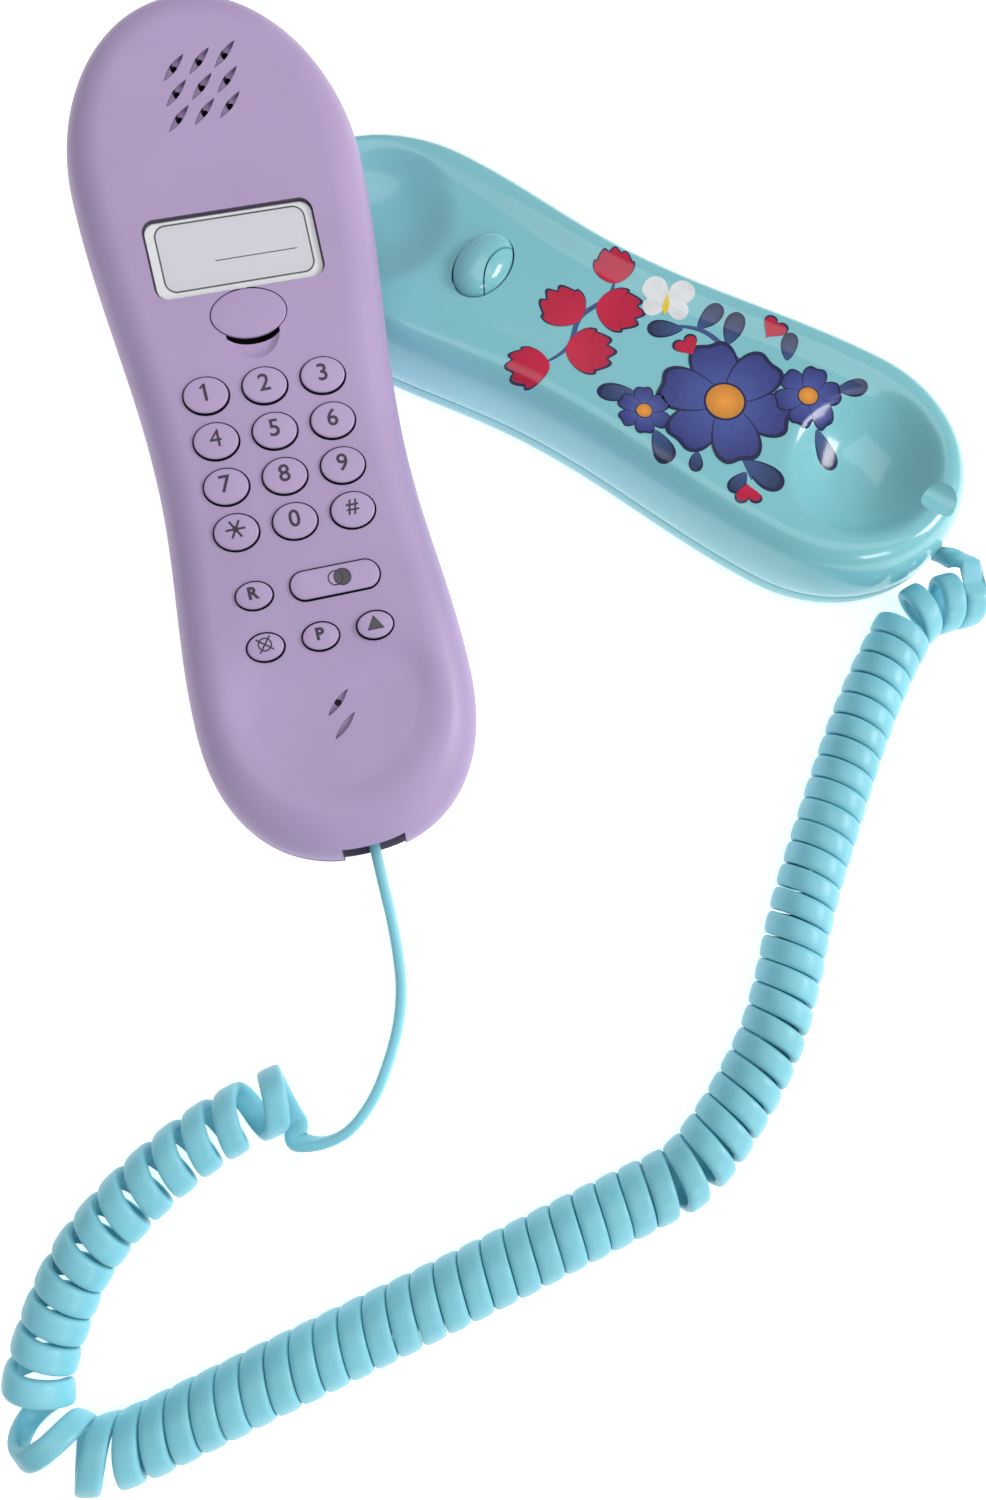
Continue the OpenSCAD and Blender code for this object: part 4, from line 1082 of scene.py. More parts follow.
class Transfer:
    """Ink shapes laid on the cradle's deck, each set of one ink a piece."""

    def __init__(self, cradle):
        self.cradle = cradle
        self.inks = {}
        self.count = 0

    def lift(self, layer):
        """Height of a shape's ink: no two neighbours lie in one plane."""
        self.count += 1
        return PRINT_LIFT * (1 + layer) + PRINT_STEP * (self.count % 8)

    def lay(self, ink, plan, at, turn=0.0, layer=0, scale=1.0, rings=6):
        """A filled plan at a place, turned, one layer above the last."""
        c, s = math.cos(math.radians(turn)), math.sin(math.radians(turn))
        lift = self.lift(layer)
        middle_x = sum(x for x, _ in plan) / len(plan)
        middle_y = sum(y for _, y in plan) / len(plan)
        skin = []
        for k in range(rings, -1, -1):
            share = k / rings
            ring = []
            for px, py in plan:
                x = middle_x + (px - middle_x) * share
                y = middle_y + (py - middle_y) * share
                x, y = at[0] + (x * c - y * s) * scale, at[1] + (x * s + y * c) * scale
                ring.append((x, y, self.cradle.deck_at(x, y) + lift))
            skin.append(ring)
        skin.insert(0, [(x, y, z - lift - 0.01) for x, y, z in skin[0]])
        bm = loft(skin)
        bmesh.ops.recalc_face_normals(bm, faces=bm.faces)
        outward = bm.verts.layers.float.new("outward")
        root = Vector((at[0], at[1]))
        reach = max((v.co.to_2d() - root).length for v in bm.verts)
        for vert in bm.verts:
            vert[outward] = (vert.co.to_2d() - root).length / reach
        self.inks.setdefault(ink, []).append(bm)

    def stroke(self, ink, points, width, layer=0, taper=True):
        """A brush line through points, thin at its ends."""
        line = through([Vector(p) for p in points], 12)
        lift = self.lift(layer)
        count = len(line) - 1
        rows = []
        for side in (-1, 0, 1):
            row = []
            for k, at in enumerate(line):
                run = (line[min(count, k + 1)] - line[max(0, k - 1)]).normalized()
                half = width / 2 * (math.sin(math.pi * (0.08 + 0.84 * k / count)) if taper else 1)
                x, y = at.x - run.y * half * side, at.y + run.x * half * side
                row.append((x, y, self.cradle.deck_at(x, y) + lift))
            rows.append(row)
        low = [[(x, y, z - lift - 0.01) for x, y, z in row] for row in (rows[0], rows[2])]
        bm = loft([low[0], *rows, low[1]], closed=False)
        bmesh.ops.recalc_face_normals(bm, faces=bm.faces)
        bm.verts.layers.float.new("outward")
        self.inks.setdefault(ink, []).append(bm)

    def bloom(self, at, radius, petals, turn, layer=0):
        """A many-petalled bloom: dark edge, blue petals with pale hearts, orange centre."""
        for k in range(petals):
            way = turn + 360 * k / petals
            wide = radius * 2.1 / petals * 1.75
            level = layer + 2 * (k % 2)
            self.lay("bloom_edge", petal_plan(radius * 1.04, wide * 1.06, 0.10), at, way, level)
            self.lay("bloom_blue", petal_plan(radius * 0.97, wide * 0.95, 0.10), at, way, level + 1)
        disc = circle(radius * 0.27, 32)
        self.lay("bloom_edge", disc, at, 0, layer + 4, 1.12, 3)
        self.lay("bloom_orange", disc, at, 0, layer + 5, 1.0, 3)

    def finish(self):
        for ink, parts in self.inks.items():
            piece("print_" + ink, joined(parts), "base", [finish(ink)], sharp=60)


class TELEPHONE_OT_deck_print(bpy.types.Operator):
    """Makes the printed flowers, leaves, hearts and butterfly on the cradle's deck"""

    bl_idname = "telephone.deck_print"
    bl_label = "Deck print"

    def execute(self, context):
        sheet = Transfer(Cradle(context.scene.telephone_cradle))
        sheet.stroke("leaf_navy", TULIP_STEM, STEM_W)
        for x, y, way, long in TULIPS:
            sheet.lay("bloom_edge", tulip_plan(long * 1.07), (x, y), way, 1)
            sheet.lay("tulip_crimson", tulip_plan(long), (x, y), way, 2)
        for points in STEMS:
            sheet.stroke("leaf_navy", points, STEM_W)
        for x, y, way, reach in LEAVES:
            sheet.lay("bloom_edge", petal_plan(reach * 1.06, reach * 0.56), (x, y), way, 0)
            sheet.lay("leaf_navy", petal_plan(reach * 0.95, reach * 0.44), (x, y), way, 1)
        for at, radius, turn in BLOOMS:
            sheet.bloom(at, radius, 6, turn, 3)
        for x, y, way in HEARTS:
            sheet.lay("bloom_edge", heart_plan(6.4), (x, y), way, 3)
            sheet.lay("tulip_crimson", heart_plan(5.7), (x, y), way, 4)
        wings = ((petal_plan(5.6, 4.4), 108, 1), (petal_plan(7.8, 5.4), 42, 2))
        for side in (-1, 1):
            for plan, spread, layer in wings:
                way = BUTTERFLY_TURN + side * spread
                sheet.lay("print_white", plan, BUTTERFLY_AT, way, layer)
        body = lens_plan(5.4, 1.6, math.radians(BUTTERFLY_TURN))
        sheet.lay("print_yellow", body, BUTTERFLY_AT, 0, 3, 1.0, 3)
        sheet.finish()
        return {"FINISHED"}


# ---- handset -----------------------------------------------------------------------------

EAR_AT, MIC = (-72.4, 0.8), (61.3, 0.5)
SLOT_ROW, SLOT_COLUMN, SLOT_SKEW = 5.15, 5.55, 0.12
BLIND_SLOT_FROM_MIC = (5.2, 0.4)
SLOT = (7.3, 1.5)
SLOT_TURN = math.radians(133)
SLOT_DEPTH, MIC_HOLE_DEPTH, HOLE_R = 0.75, 1.0, 0.75
LABEL_X, LABEL_SIZE, LABEL_R, LABEL_DEPTH = -38.4, (36.6, 17.0), 2.8, 1.4
CATCH_X, CATCH_SIZE = -24.5, (16.6, 10.9)
SCOOP_X, SCOOP_SIZE = -20.9, (11.6, 12.4)
POCKET_X, POCKET_SIZE, POCKET_FLOOR = -23.7, (16.4, 11.0), -4.9
CATCH_THICK, CATCH_EDGE, CATCH_RISE, CATCH_CROWN = 1.2, 0.3, 0.1, 0.12
NOTCH_W = 13.9
NOTCH_TOP, NOTCH_LOW, NOTCH_LIP = 0.2, -31.2, (-15.6, -13.9)
STAND_OUT = 0.6
# Material slots of the front shell: satin plastic, then lighter painted shade in the slot recesses,
# near-black painted shade in holes and key gaps, and dark painted shade in the notch and the label
# recess
SATIN, SHADOW, GAP_SHADE, NOTCH = range(4)
HANDSET_SCREWS, SCREW_SEAT_Z = [(-48, 22.2), (-48, -22.2), (68, 18), (68, -18)], -17.4
FIRST_ROW_X, REDIAL_ROW_X, LAST_ROW_X = -8.5, 35.5, 46.7
SIDE_KEY_Y, REDIAL_Y = 11.85, 5.6
SMALL_KEY, REDIAL_KEY = (7.7, 5.8), (19.2, 6.1)


def key_list(sizes):
    """Each key: its name, place in x and y, width, height and plan."""
    width, height = sizes.width / MM, sizes.height / MM
    column, row = sizes.column / MM, sizes.row / MM
    names = ["1", "2", "3", "4", "5", "6", "7", "8", "9", "star", "0", "hash"]
    keys = [
        (name, FIRST_ROW_X + (k // 3) * row, (k % 3 - 1) * column, width, height, oval)
        for k, name in enumerate(names)
    ]
    keys += [
        ("recall", REDIAL_ROW_X, -SIDE_KEY_Y, *SMALL_KEY, oval),
        ("redial", REDIAL_ROW_X, REDIAL_Y, *REDIAL_KEY, stadium),
    ]
    last_row = (("mute", -SIDE_KEY_Y), ("pause", 0.0), ("volume", SIDE_KEY_Y))
    return keys + [(name, LAST_ROW_X, y, *SMALL_KEY, oval) for name, y in last_row]


def sound_slots():
    """Places of the sound slots: nine at the ear and one at the mouth, and a blind one."""
    open_slots = [
        (
            EAR_AT[0] + r * SLOT_ROW - SLOT_SKEW * c * SLOT_COLUMN,
            EAR_AT[1] + c * SLOT_COLUMN - SLOT_SKEW * r * SLOT_ROW,
        )
        for r in (-1, 0, 1) for c in (-1, 0, 1)
    ]
    return open_slots + [MIC], [tuple(a + b for a, b in zip(MIC, BLIND_SLOT_FROM_MIC))]


def notch_block(low, high, spare=0.0, start=86):
    """A box over the notch's width, from its inner end to past the handset's end."""
    y = HANDSET_JACK[0]
    return block((start, y - NOTCH_W / 2 - spare, low), (106, y + NOTCH_W / 2 + spare, high))


def in_notch(x, y):
    return x > 85.5 and abs(y - HANDSET_JACK[0]) < NOTCH_W / 2 + 0.01


class TELEPHONE_OT_handset(bpy.types.Operator):
    """Makes the handset's front and back shells"""

    bl_idname = "telephone.handset"
    bl_label = "Handset shells"

    def execute(self, context):
        handset = Handset(context.scene.telephone_handset)
        keys = key_list(context.scene.telephone_keys)
        self.front(handset, keys)
        self.back(handset)
        return {"FINISHED"}

    @staticmethod
    def in_hole(x, y, key):
        """Whether a point lies in a key's hole or on its wall."""
        _name, key_x, key_y, width, height, plan = key
        reach = max(0.0, abs(y - key_y) - (width - height) / 2)
        across = reach / height if plan is stadium else abs(y - key_y) / (width + 2 * KEY_GAP)
        return math.hypot((x - key_x) / (height + 2 * KEY_GAP), across) < 0.53

    def edge_rings(self, handset, offset, steps):
        """Rings over the face's rounded edge, which is wider at the mouth end."""
        out, rings = handset.outline, []
        for t in quarter(steps):
            ring = []
            for a in angles(OUTLINE_POINTS):
                radius = handset.face_r(out.point(a, offset)[0])
                inset = radius * (1 - math.cos(t))
                x, y = out.point(a, inset + offset)
                drop = handset.face_edge * (1 - math.sin(t))
                ring.append((x, y, handset.surface(x, y, offset) - drop))
            rings.append(ring)
        return rings

    def inner_rings(self, handset, offset, counts):
        """Rings from the end of the rounded edge to the line down the middle."""
        out, rings = handset.outline, []
        for k in range(1, counts + 1):
            share = k / counts
            ring = []
            for a in angles(OUTLINE_POINTS):
                radius = handset.face_r(out.point(a, offset)[0])
                x, y = out.point(a, radius + offset)
                limit = out.half - 26
                x, y = x + (max(-limit, min(limit, x)) - x) * share, y * (1 - share)
                ring.append((x, y, handset.surface(x, y, offset)))
            rings.append(ring)
        return rings

    def front(self, handset, keys):
        out = handset.outline
        lip = [(LIP_ROUND, 0.0), (LIP_ROUND * 0.3, LIP_ROUND * 0.3), (0.0, LIP_ROUND)]
        rings = self.inner_rings(handset, WALL, 6)[::-1] + self.edge_rings(handset, WALL, 8)[::-1]
        rings += peanut_rings(out, [WALL], lambda x, y, i: handset.split(x))
        for inset, rise in lip:
            rings += peanut_rings(out, [inset], lambda x, y, i: handset.split(x) + rise)
        rings += self.edge_rings(handset, 0.0, EDGE_STEPS) + self.inner_rings(handset, 0.0, 24)
        shell = closed_up(loft(rings))
        tools = []
        for _name, x, y, width, height, plan in keys:
            hole = moved(plan(width + 2 * KEY_GAP, height + 2 * KEY_GAP, 72), x, y)
            tools.append(prism(hole, -8, 8))
        open_slots, blind_slots = sound_slots()
        for x, y in open_slots + blind_slots:
            plan = moved(lens_plan(*SLOT, SLOT_TURN), x, y)
            tools.append(prism(plan, handset.skin(x, y) - SLOT_DEPTH, handset.skin(x, y) + 3))
        label = round_box(*LABEL_SIZE, LABEL_R, FINE)
        tools.append(prism(label, -LABEL_DEPTH, 5, handset.on_face(LABEL_X)))
        shell = carve(shell, tools)
        disc, scoop = (prism(moved(oval(*size, FINE), x, 0), -8, 8)
                       for x, size in ((CATCH_X, CATCH_SIZE), (SCOOP_X, SCOOP_SIZE)))
        shell = carve(carve(shell, [disc]), [scoop, notch_block(NOTCH_LOW, NOTCH_TOP)])
        # the hole over the microphone ends blind, and its floor takes the near-black painted shade
        # of the holes
        drills = [rod(HOLE_R, -8, 8, p, 24) for p in open_slots[:-1]]
        drills.append(rod(HOLE_R, handset.skin(*MIC) - MIC_HOLE_DEPTH, 8, MIC, 24))
        shell = carve(shell, drills)
        label_x, label_y = LABEL_SIZE[1] / 2 + 0.3, LABEL_SIZE[0] / 2 + 0.1
        for face in shell.faces:
            x, y, z = face.calc_center_median()
            near = min(math.hypot(x - a, y - b) for a, b in open_slots)
            blind = min(math.hypot(x - a, y - b) for a, b in blind_slots)
            deep = handset.skin(x, y) - z
            # slot recesses take painted shade, and the holes in them near-black painted shade
            if min(near, blind) < 3.3 and deep > 0.05 and face.normal.z > -0.5:
                shaded = near < blind or deep > 0.5
                face.material_index = GAP_SHADE if near < 0.8 else SHADOW if shaded else SATIN
            # the notch's inside takes dark painted shade
            elif in_notch(x, y) and z < NOTCH_TOP + 0.01:
                face.material_index = NOTCH
            # the walls of the key holes take the near-black painted shade of the gap
            elif abs(face.normal.z) < 0.6 and any(self.in_hole(x, y, key) for key in keys):
                face.material_index = GAP_SHADE
            # the label recess's sunk faces take dark painted shade, which shows at its walls
            elif deep > 0.02 and abs(x - LABEL_X) < label_x and abs(y) < label_y:
                face.material_index = NOTCH
        piece("handset_front", shell, "handset",
              [finish(n) for n in ("handset_satin", "slot_shadow", "painted_gap_shade", "notch_shadow")],
              Handset.PLACE, ("handset_front_shell",), 35)

    def back(self, handset):
        out = handset.outline
        top = [(WALL, -SEAM), (LIP_ROUND, -SEAM), (LIP_ROUND * 0.3, -SEAM - LIP_ROUND * 0.3),
               (0.0, -SEAM - LIP_ROUND)]

        def under(offset, steps):
            return [
                [
                    (x, y, handset.back(x) + offset + handset.back_edge * (1 - math.sin(t)))
                    for x, y in (out.point(a, offset + handset.back_r * (1 - math.cos(t)))
                                 for a in angles(OUTLINE_POINTS))
                ]
                for t in quarter(steps)
            ]

        def belly(offset, shares):
            return spine_rings(out, handset.back_r + offset, shares,
                               lambda x, y, i: handset.back(x) + offset)

        rings = belly(WALL, (1.0, 0.5)) + under(WALL, 8)[::-1]
        for inset, rise in top:
            ring = peanut_rings(out, [inset], lambda x, y, i: handset.split(x) + rise)[0]
            rings.append(self.stood_out(ring, float(inset < WALL)))
        for t, ring in zip(quarter(EDGE_STEPS), under(0.0, EDGE_STEPS)):
            rings.append(self.stood_out(ring, math.cos(t)))
        rings += belly(0.0, (0.25, 0.5, 0.75, 1.0))
        shell = closed_up(loft(rings))
        tools = [rod(SCREW_R, -40, SCREW_SEAT_Z, p) for p in HANDSET_SCREWS]
        shell = carve(shell, tools + [notch_block(NOTCH_LOW, NOTCH_TOP)])
        shell = carve(shell, [self.lip(out)], "UNION")
        for face in shell.faces:
            x, y, z = face.calc_center_median()
            # the seam ledge, and the notch with its shelf, take dark painted shade
            seam_shade = face.normal.z > 0.9 and z > handset.split(x) - SEAM - 0.02
            if (in_notch(x, y) and z > NOTCH_LIP[0] + 0.01) or seam_shade:
                face.material_index = 1
        piece("handset_back", shell, "handset",
              [finish("handset_satin"), finish("notch_shadow")], Handset.PLACE,
              ("handset_back_shell",), 35)

    @staticmethod
    def stood_out(ring, share):
        """A ring drawn out where the back shell stands out past the front one, at the mouth end."""
        made = []
        for x, y, z in ring:
            way = Vector((max(0.0, x - 58), y)).normalized()
            reach = STAND_OUT * share * ease((x - 25) / 45) * ease((14 - y) / 22)
            made.append((x + way.x * reach, y + way.y * reach, z))
        return made

    @staticmethod
    def lip(out):
        """Shelf under the notch, over which the cord leaves; its top takes dark painted shade."""
        plan = [out.point(a, -0.05) for a in angles(OUTLINE_POINTS)]
        return carve(prism(plan, *NOTCH_LIP), [notch_block(-20, 0, 0.4, 84)], "INTERSECT")


class TELEPHONE_OT_catch(bpy.types.Operator):
    """Makes the disc and the scooped pocket that hang the handset up"""

    bl_idname = "telephone.catch"
    bl_label = "Hanger catch"

    def execute(self, context):
        handset = Handset(context.scene.telephone_handset)
        wide, high = CATCH_SIZE[0] - 2 * SEAT_GAP, CATCH_SIZE[1] - 2 * SEAT_GAP
        edge = CATCH_EDGE
        rings = [[(x, y, -CATCH_THICK) for x, y in oval(wide - 0.4, high - 0.4, FINE)]]
        for t in quarter(5):
            inset = edge * (1 - math.cos(t))
            plan = oval(wide - 2 * inset, high - 2 * inset, FINE)
            rings.append([(x, y, CATCH_RISE - edge + edge * math.sin(t)) for x, y in plan])
        for share in (0.8, 0.55, 0.3, 0.0):
            plan = oval((wide - 2 * edge) * share, (high - 2 * edge) * share, FINE)
            rings.append([(x, y, CATCH_RISE + CATCH_CROWN * (1 - share ** 2)) for x, y in plan])
        disc = placed(closed_up(loft(rings)), handset.on_face(CATCH_X))
        made = joined([disc, self.pocket(handset)])
        # the pocket's faces deeper than 1.6 mm take near-black painted shade
        for face in made.faces:
            x, _y, z = face.calc_center_median()
            face.material_index = int(z < handset.face_line(x) - 1.6)
        piece("catch", made, "handset",
              [finish("handset_satin"), finish("painted_gap_shade")], Handset.PLACE,
              ("hanger_catch",), 40)
        return {"FINISHED"}

    @staticmethod
    def pocket(handset):
        """A shallow scoop that deepens into a pocket under the disc."""
        outer = oval(SCOOP_SIZE[0] + 3, SCOOP_SIZE[1] + 3, FINE)
        top = oval(SCOOP_SIZE[0] + 0.1, SCOOP_SIZE[1] + 0.1, FINE)
        line = handset.face_line
        rings = [[(x, y, -5.4) for x, y in outer]]
        rings.append([(x, y, line(x + SCOOP_X) - WALL - 0.1) for x, y in outer])
        rings.append([(x, y, line(x + SCOOP_X) - WALL - 0.1) for x, y in top])
        for share in (1.0, 0.97, 0.9, 0.8, 0.65, 0.5, 0.35, 0.2, 0.0):
            deep = 0.35 + 0.75 * ease((1 - share) / 0.3)
            rings.append([(x * share, y * share, line(x * share + SCOOP_X) - deep) for x, y in top])
        bowl = closed_up(loft(rings))
        bmesh.ops.translate(bowl, vec=(SCOOP_X, 0, 0), verts=bowl.verts)
        return carve(bowl, [prism(moved(oval(*POCKET_SIZE, FINE), POCKET_X, 0), POCKET_FLOOR, 4)])


# ---- keys --------------------------------------------------------------------------------

KEY_EDGE, KEY_CROWN = 0.36, 0.2
LEGEND_LIFT, LEGEND_THICK = 0.03, 0.02
SIGN_GRID = 0.3
NUMBER_HIGH, LETTER_HIGH = 3.75, 2.75


class KeyTop:
    """A key's plan and its crowned top, in the handset's frame."""

    def __init__(self, handset, sizes, key):
        self.name, self.x, self.y, self.width, self.height, self.plan = key
        self.face = handset.face(self.x, self.y)
        self.rise = sizes.rise / MM

    def top(self, x, y):
        reach = max(0.0, abs(y) - (self.width - self.height) / 2)
        share = math.hypot(x, reach) / (self.height / 2 - KEY_EDGE)
        return self.face + self.rise - KEY_CROWN + KEY_CROWN * max(0.0, 1 - share ** 2)

    def mesh(self):
        plan = self.plan(self.width, self.height, 80)
        rings = [[(x, y, self.face - WALL - RUN_GAP) for x, y in plan]]
        shoulder = self.face + self.rise - KEY_CROWN - KEY_EDGE
        for t in quarter(7):
            inset = KEY_EDGE * (1 - math.cos(t))
            plan = self.plan(self.width - 2 * inset, self.height - 2 * inset, 80)
            rings.append([(x, y, shoulder + KEY_EDGE * math.sin(t)) for x, y in plan])
        inner = self.height / 2 - KEY_EDGE
        for share in (0.9, 0.8, 0.7, 0.6, 0.45, 0.3, 0.15, 0.0):
            inset = KEY_EDGE + inner * (1 - share)
            plan = self.plan(self.width - 2 * inset, self.height - 2 * inset, 80)
            rise = KEY_CROWN * (1 - share ** 2)
            rings.append([(x, y, shoulder + KEY_EDGE + rise) for x, y in plan])
        made = closed_up(loft(rings))
        bmesh.ops.translate(made, vec=(self.x, self.y, 0), verts=made.verts)
        return made

    def conform(self, bm, at=(0.0, 0.0)):
        """Lays a thin flat sign on the top: its own up runs towards the ear end."""
        for normal in ((1, 0, 0), (0, 1, 0)):
            for k in range(-9, 10):
                parts = bm.verts[:] + bm.edges[:] + bm.faces[:]
                spot = Vector(normal) * (k * SIGN_GRID + 0.013)
                bmesh.ops.bisect_plane(bm, geom=parts, plane_co=spot, plane_no=normal)
        for vert in bm.verts:
            across, up, lift = vert.co
            x, y = -up + at[0], across + at[1]
            vert.co = (self.x + x, self.y + y, self.top(x, y) + LEGEND_LIFT + lift)
        return bm


def lettering(text, high, weight=0.0):
    """Thin solid letters, centred, with their own up in y."""
    font = bpy.data.curves.new("lettering", "FONT")
    font.body = text
    font.align_x = "CENTER"
    font.offset = weight
    font.resolution_u = 6
    font.extrude = 0.01
    holder = bpy.data.objects.new("lettering", font)
    bpy.context.scene.collection.objects.link(holder)
    bpy.context.view_layer.update()
    evaluated = holder.evaluated_get(bpy.context.evaluated_depsgraph_get())
    mesh = bpy.data.meshes.new_from_object(evaluated)
    bm = bmesh.new()
    bm.from_mesh(mesh)
    bpy.data.objects.remove(holder)
    bpy.data.curves.remove(font)
    bpy.data.meshes.remove(mesh)
    bmesh.ops.remove_doubles(bm, verts=bm.verts, dist=1e-5)
    low = [min(v.co[k] for v in bm.verts) for k in range(3)]
    top = [max(v.co[k] for v in bm.verts) for k in range(3)]
    grow = high / (top[1] - low[1])
    for vert in bm.verts:
        vert.co.x = (vert.co.x - (low[0] + top[0]) / 2) * grow
        vert.co.y = (vert.co.y - (low[1] + top[1]) / 2) * grow
        vert.co.z = LEGEND_THICK * (vert.co.z > 0)
    bmesh.ops.recalc_face_normals(bm, faces=bm.faces)
    return bm


def ring_sign(outer, inner, at=(0, 0)):
    profile = [(outer, 0), (outer, LEGEND_THICK), (inner, LEGEND_THICK), (inner, 0), (outer, 0)]
    bm = loft([[(x, y, z) for x, y in moved(circle(r), *at)] for r, z in profile])
    bmesh.ops.recalc_face_normals(bm, faces=bm.faces)
    return bm


def disc_sign(radius, at=(0, 0)):
    return prism(moved(circle(radius), *at), 0, LEGEND_THICK)


def bar_sign(length, width, turn, at=(0, 0)):
    bar = block((-length / 2, -width / 2, 0), (length / 2, width / 2, LEGEND_THICK))
    long_edges = [e for e in bar.edges if e.calc_length() > length * 0.9]
    bmesh.ops.subdivide_edges(bar, edges=long_edges, cuts=5)
    return placed(bar, Matrix.Translation((*at, 0)) @ Matrix.Rotation(math.radians(turn), 4, "Z"))


def triangle_sign(high, at=(0, 0), thick=LEGEND_THICK):
    wide = high * 0.6
    return prism(moved([(-wide, -high / 2), (wide, -high / 2), (0, high / 2)], *at), 0, thick)


def legend_parts(name):
    """A key's dark signs and its grey ones."""
    if name.isdigit():
        flag = [bar_sign(1.2, 0.4, 38, (-0.48, 1.30))] if name == "1" else []
        return [lettering(name, NUMBER_HIGH, -0.002 if name == "4" else 0.012), *flag], []
    if name == "hash":
        return [lettering("#", 3.3, 0.008)], []
    if name == "star":
        return [bar_sign(4.2, 0.46, turn) for turn in (60, 0, 120)], [disc_sign(0.7)]
    if name == "recall":
        return [lettering("R", LETTER_HIGH, 0.04)], []
    if name == "pause":
        return [lettering("P", LETTER_HIGH, 0.04)], []
    if name == "redial":
        rings = [ring_sign(1.68, 1.4, (-0.75, 0)), ring_sign(1.9, 1.66, (0.75, 0))]
        return rings, [disc_sign(1.7, (0.75, 0))]
    if name == "mute":
        cross = [bar_sign(4.3, 0.32, turn) for turn in (52, -38)]
        return [ring_sign(1.5, 1.2), *cross], []
    return [triangle_sign(3.1)], [triangle_sign(2.5, (0, -0.03), LEGEND_THICK * 1.6)]


class TELEPHONE_OT_keys(bpy.types.Operator):
    """Makes the seventeen keys and their printed legends"""

    bl_idname = "telephone.keys"
    bl_label = "Keys"

    def execute(self, context):
        handset = Handset(context.scene.telephone_handset)
        sizes = context.scene.telephone_keys
        for key in key_list(sizes):
            top = KeyTop(handset, sizes, key)
            body = "key_" + top.name + "_cap"
            cap = top.mesh()
            # the lower part of a key's wall takes the near-black painted shade of the gap round it
            for face in cap.faces:
                face.material_index = int(face.calc_center_median().z < top.face + 0.3)
            looks = [finish("key_plastic"), finish("painted_gap_shade")]
            piece("key_cap_" + top.name, cap, body, looks, Handset.PLACE,
                  ("key_" + top.name,), 50)
            shift = (-0.25, 0.9) if top.name == "redial" else (-0.5, 0.0)
            for ink, parts in zip(("ink", "grey"), legend_parts(top.name)):
                if parts:
                    sign = joined([top.conform(part, shift) for part in parts])
                    piece(f"legend_{top.name}_{ink}", sign, body,
                          [finish("legend_" + ink)], Handset.PLACE, sharp=60)
        return {"FINISHED"}


# ---- label -------------------------------------------------------------------------------

CARD_THICK, CARD_INSET, LABEL_INK = 0.3, 0.4, 0.03
PANEL_AT, PANEL_R, PANEL_LINE_W = (-0.3, 0.15), 2.4, 0.36
RULE_X, RULE_Y = (1.35, 1.58), (-4.5, 13.2)
COVER_GAP, COVER_THICK = 0.08, 0.42


def frame_strip(width, height, radius, line, low, high):
    """A thin frame with round corners."""
    outer = round_box(width, height, radius, FINE)
    inner = round_box(width - 2 * line, height - 2 * line, max(0.2, radius - line), FINE)
    rings = [[(x, y, z) for x, y in plan] for plan, z in
             ((outer, low), (outer, high), (inner, high), (inner, low), (outer, low))]
    bm = loft(rings)
    bmesh.ops.recalc_face_normals(bm, faces=bm.faces)
    return bm


class TELEPHONE_OT_label(bpy.types.Operator):
    """Makes the number label: card, ruled lines, clear cover and its frame"""

    bl_idname = "telephone.label"
    bl_label = "Number label"

    def execute(self, context):
        handset = Handset(context.scene.telephone_handset)
        place = Handset.PLACE @ self.scaled(handset.on_face(LABEL_X))
        wide, high = LABEL_SIZE
        top = -LABEL_DEPTH + CARD_THICK
        plan = round_box(wide - 2 * CARD_INSET, high - 2 * CARD_INSET, LABEL_R - CARD_INSET, FINE)
        # the printed panel stands nearer to the right and lower edges, as the card was cut
        panel = moved(round_box(wide - 4.3, high - 2.6, PANEL_R, FINE), *PANEL_AT)
        inside = prism(panel, top, top + 0.01)
        line = frame_strip(wide - 4.1, high - 2.5, PANEL_R + 0.2, PANEL_LINE_W, top,
                           top + LABEL_INK)
        bmesh.ops.translate(line, vec=(*PANEL_AT, 0), verts=line.verts)
        ruled = block((RULE_X[0], RULE_Y[0], top), (RULE_X[1], RULE_Y[1], top + LABEL_INK))
        sheet = prism(plan, -LABEL_DEPTH, top)
        window = prism(plan, top + COVER_GAP, top + COVER_GAP + COVER_THICK)
        for name, bm, slot, look, replaces in (
            ("label_sheet", sheet, "label_paper", "label_paper", ("label_card",)),
            ("label_panel", inside, "label_paper", "label_tint", ()),
            ("label_lines", joined([line, ruled]), "label_paper", "label_ink", ()),
            ("label_window", window, "label_window", "label_window", ("label_cover",)),
        ):
            piece(name, bm, "handset", [finish(look)], place, replaces)
        return {"FINISHED"}

    @staticmethod
    def scaled(matrix):
        """A placing in millimetres, for meshes already in metres."""
        made = matrix.copy()
        made.translation = matrix.translation * MM
        return made


# ---- plugs and fittings ------------------------------------------------------------------

# The contacts' ends along the plug, their lower and upper side, and each one's place across
CONTACT_X, CONTACT_Y, CONTACT_W = (-10.6, -6.8), (-1.65, -1.35), 0.4
PLUG_CONTACTS_Z = (-1.9, -0.6, 0.7, 2.0)
SPRING_WIRE, SPRING_TURNS, SPRING_STEPS = 0.5, 6, 18


class TELEPHONE_OT_plugs(bpy.types.Operator):
    """Makes the contacts in the plugs at both ends of the cord"""

    bl_idname = "telephone.plugs"
    bl_label = "Plugs"

    def execute(self, context):
        base = Matrix.Translation(CORD_EXIT * MM)
        hand = Handset.PLACE @ Matrix.Translation(Vector((HANDSET_PLUG_X, *HANDSET_JACK)) * MM)
        for name, body, place in (("cradle_end", "base", base), ("handset_end", "handset", hand)):
            contacts = [
                block(*zip(CONTACT_X, CONTACT_Y, (z - CONTACT_W / 2, z + CONTACT_W / 2)))
                for z in PLUG_CONTACTS_Z
            ]
            piece("contacts_" + name, joined(contacts), body,
                  [finish("contact_gold")], place)
        return {"FINISHED"}


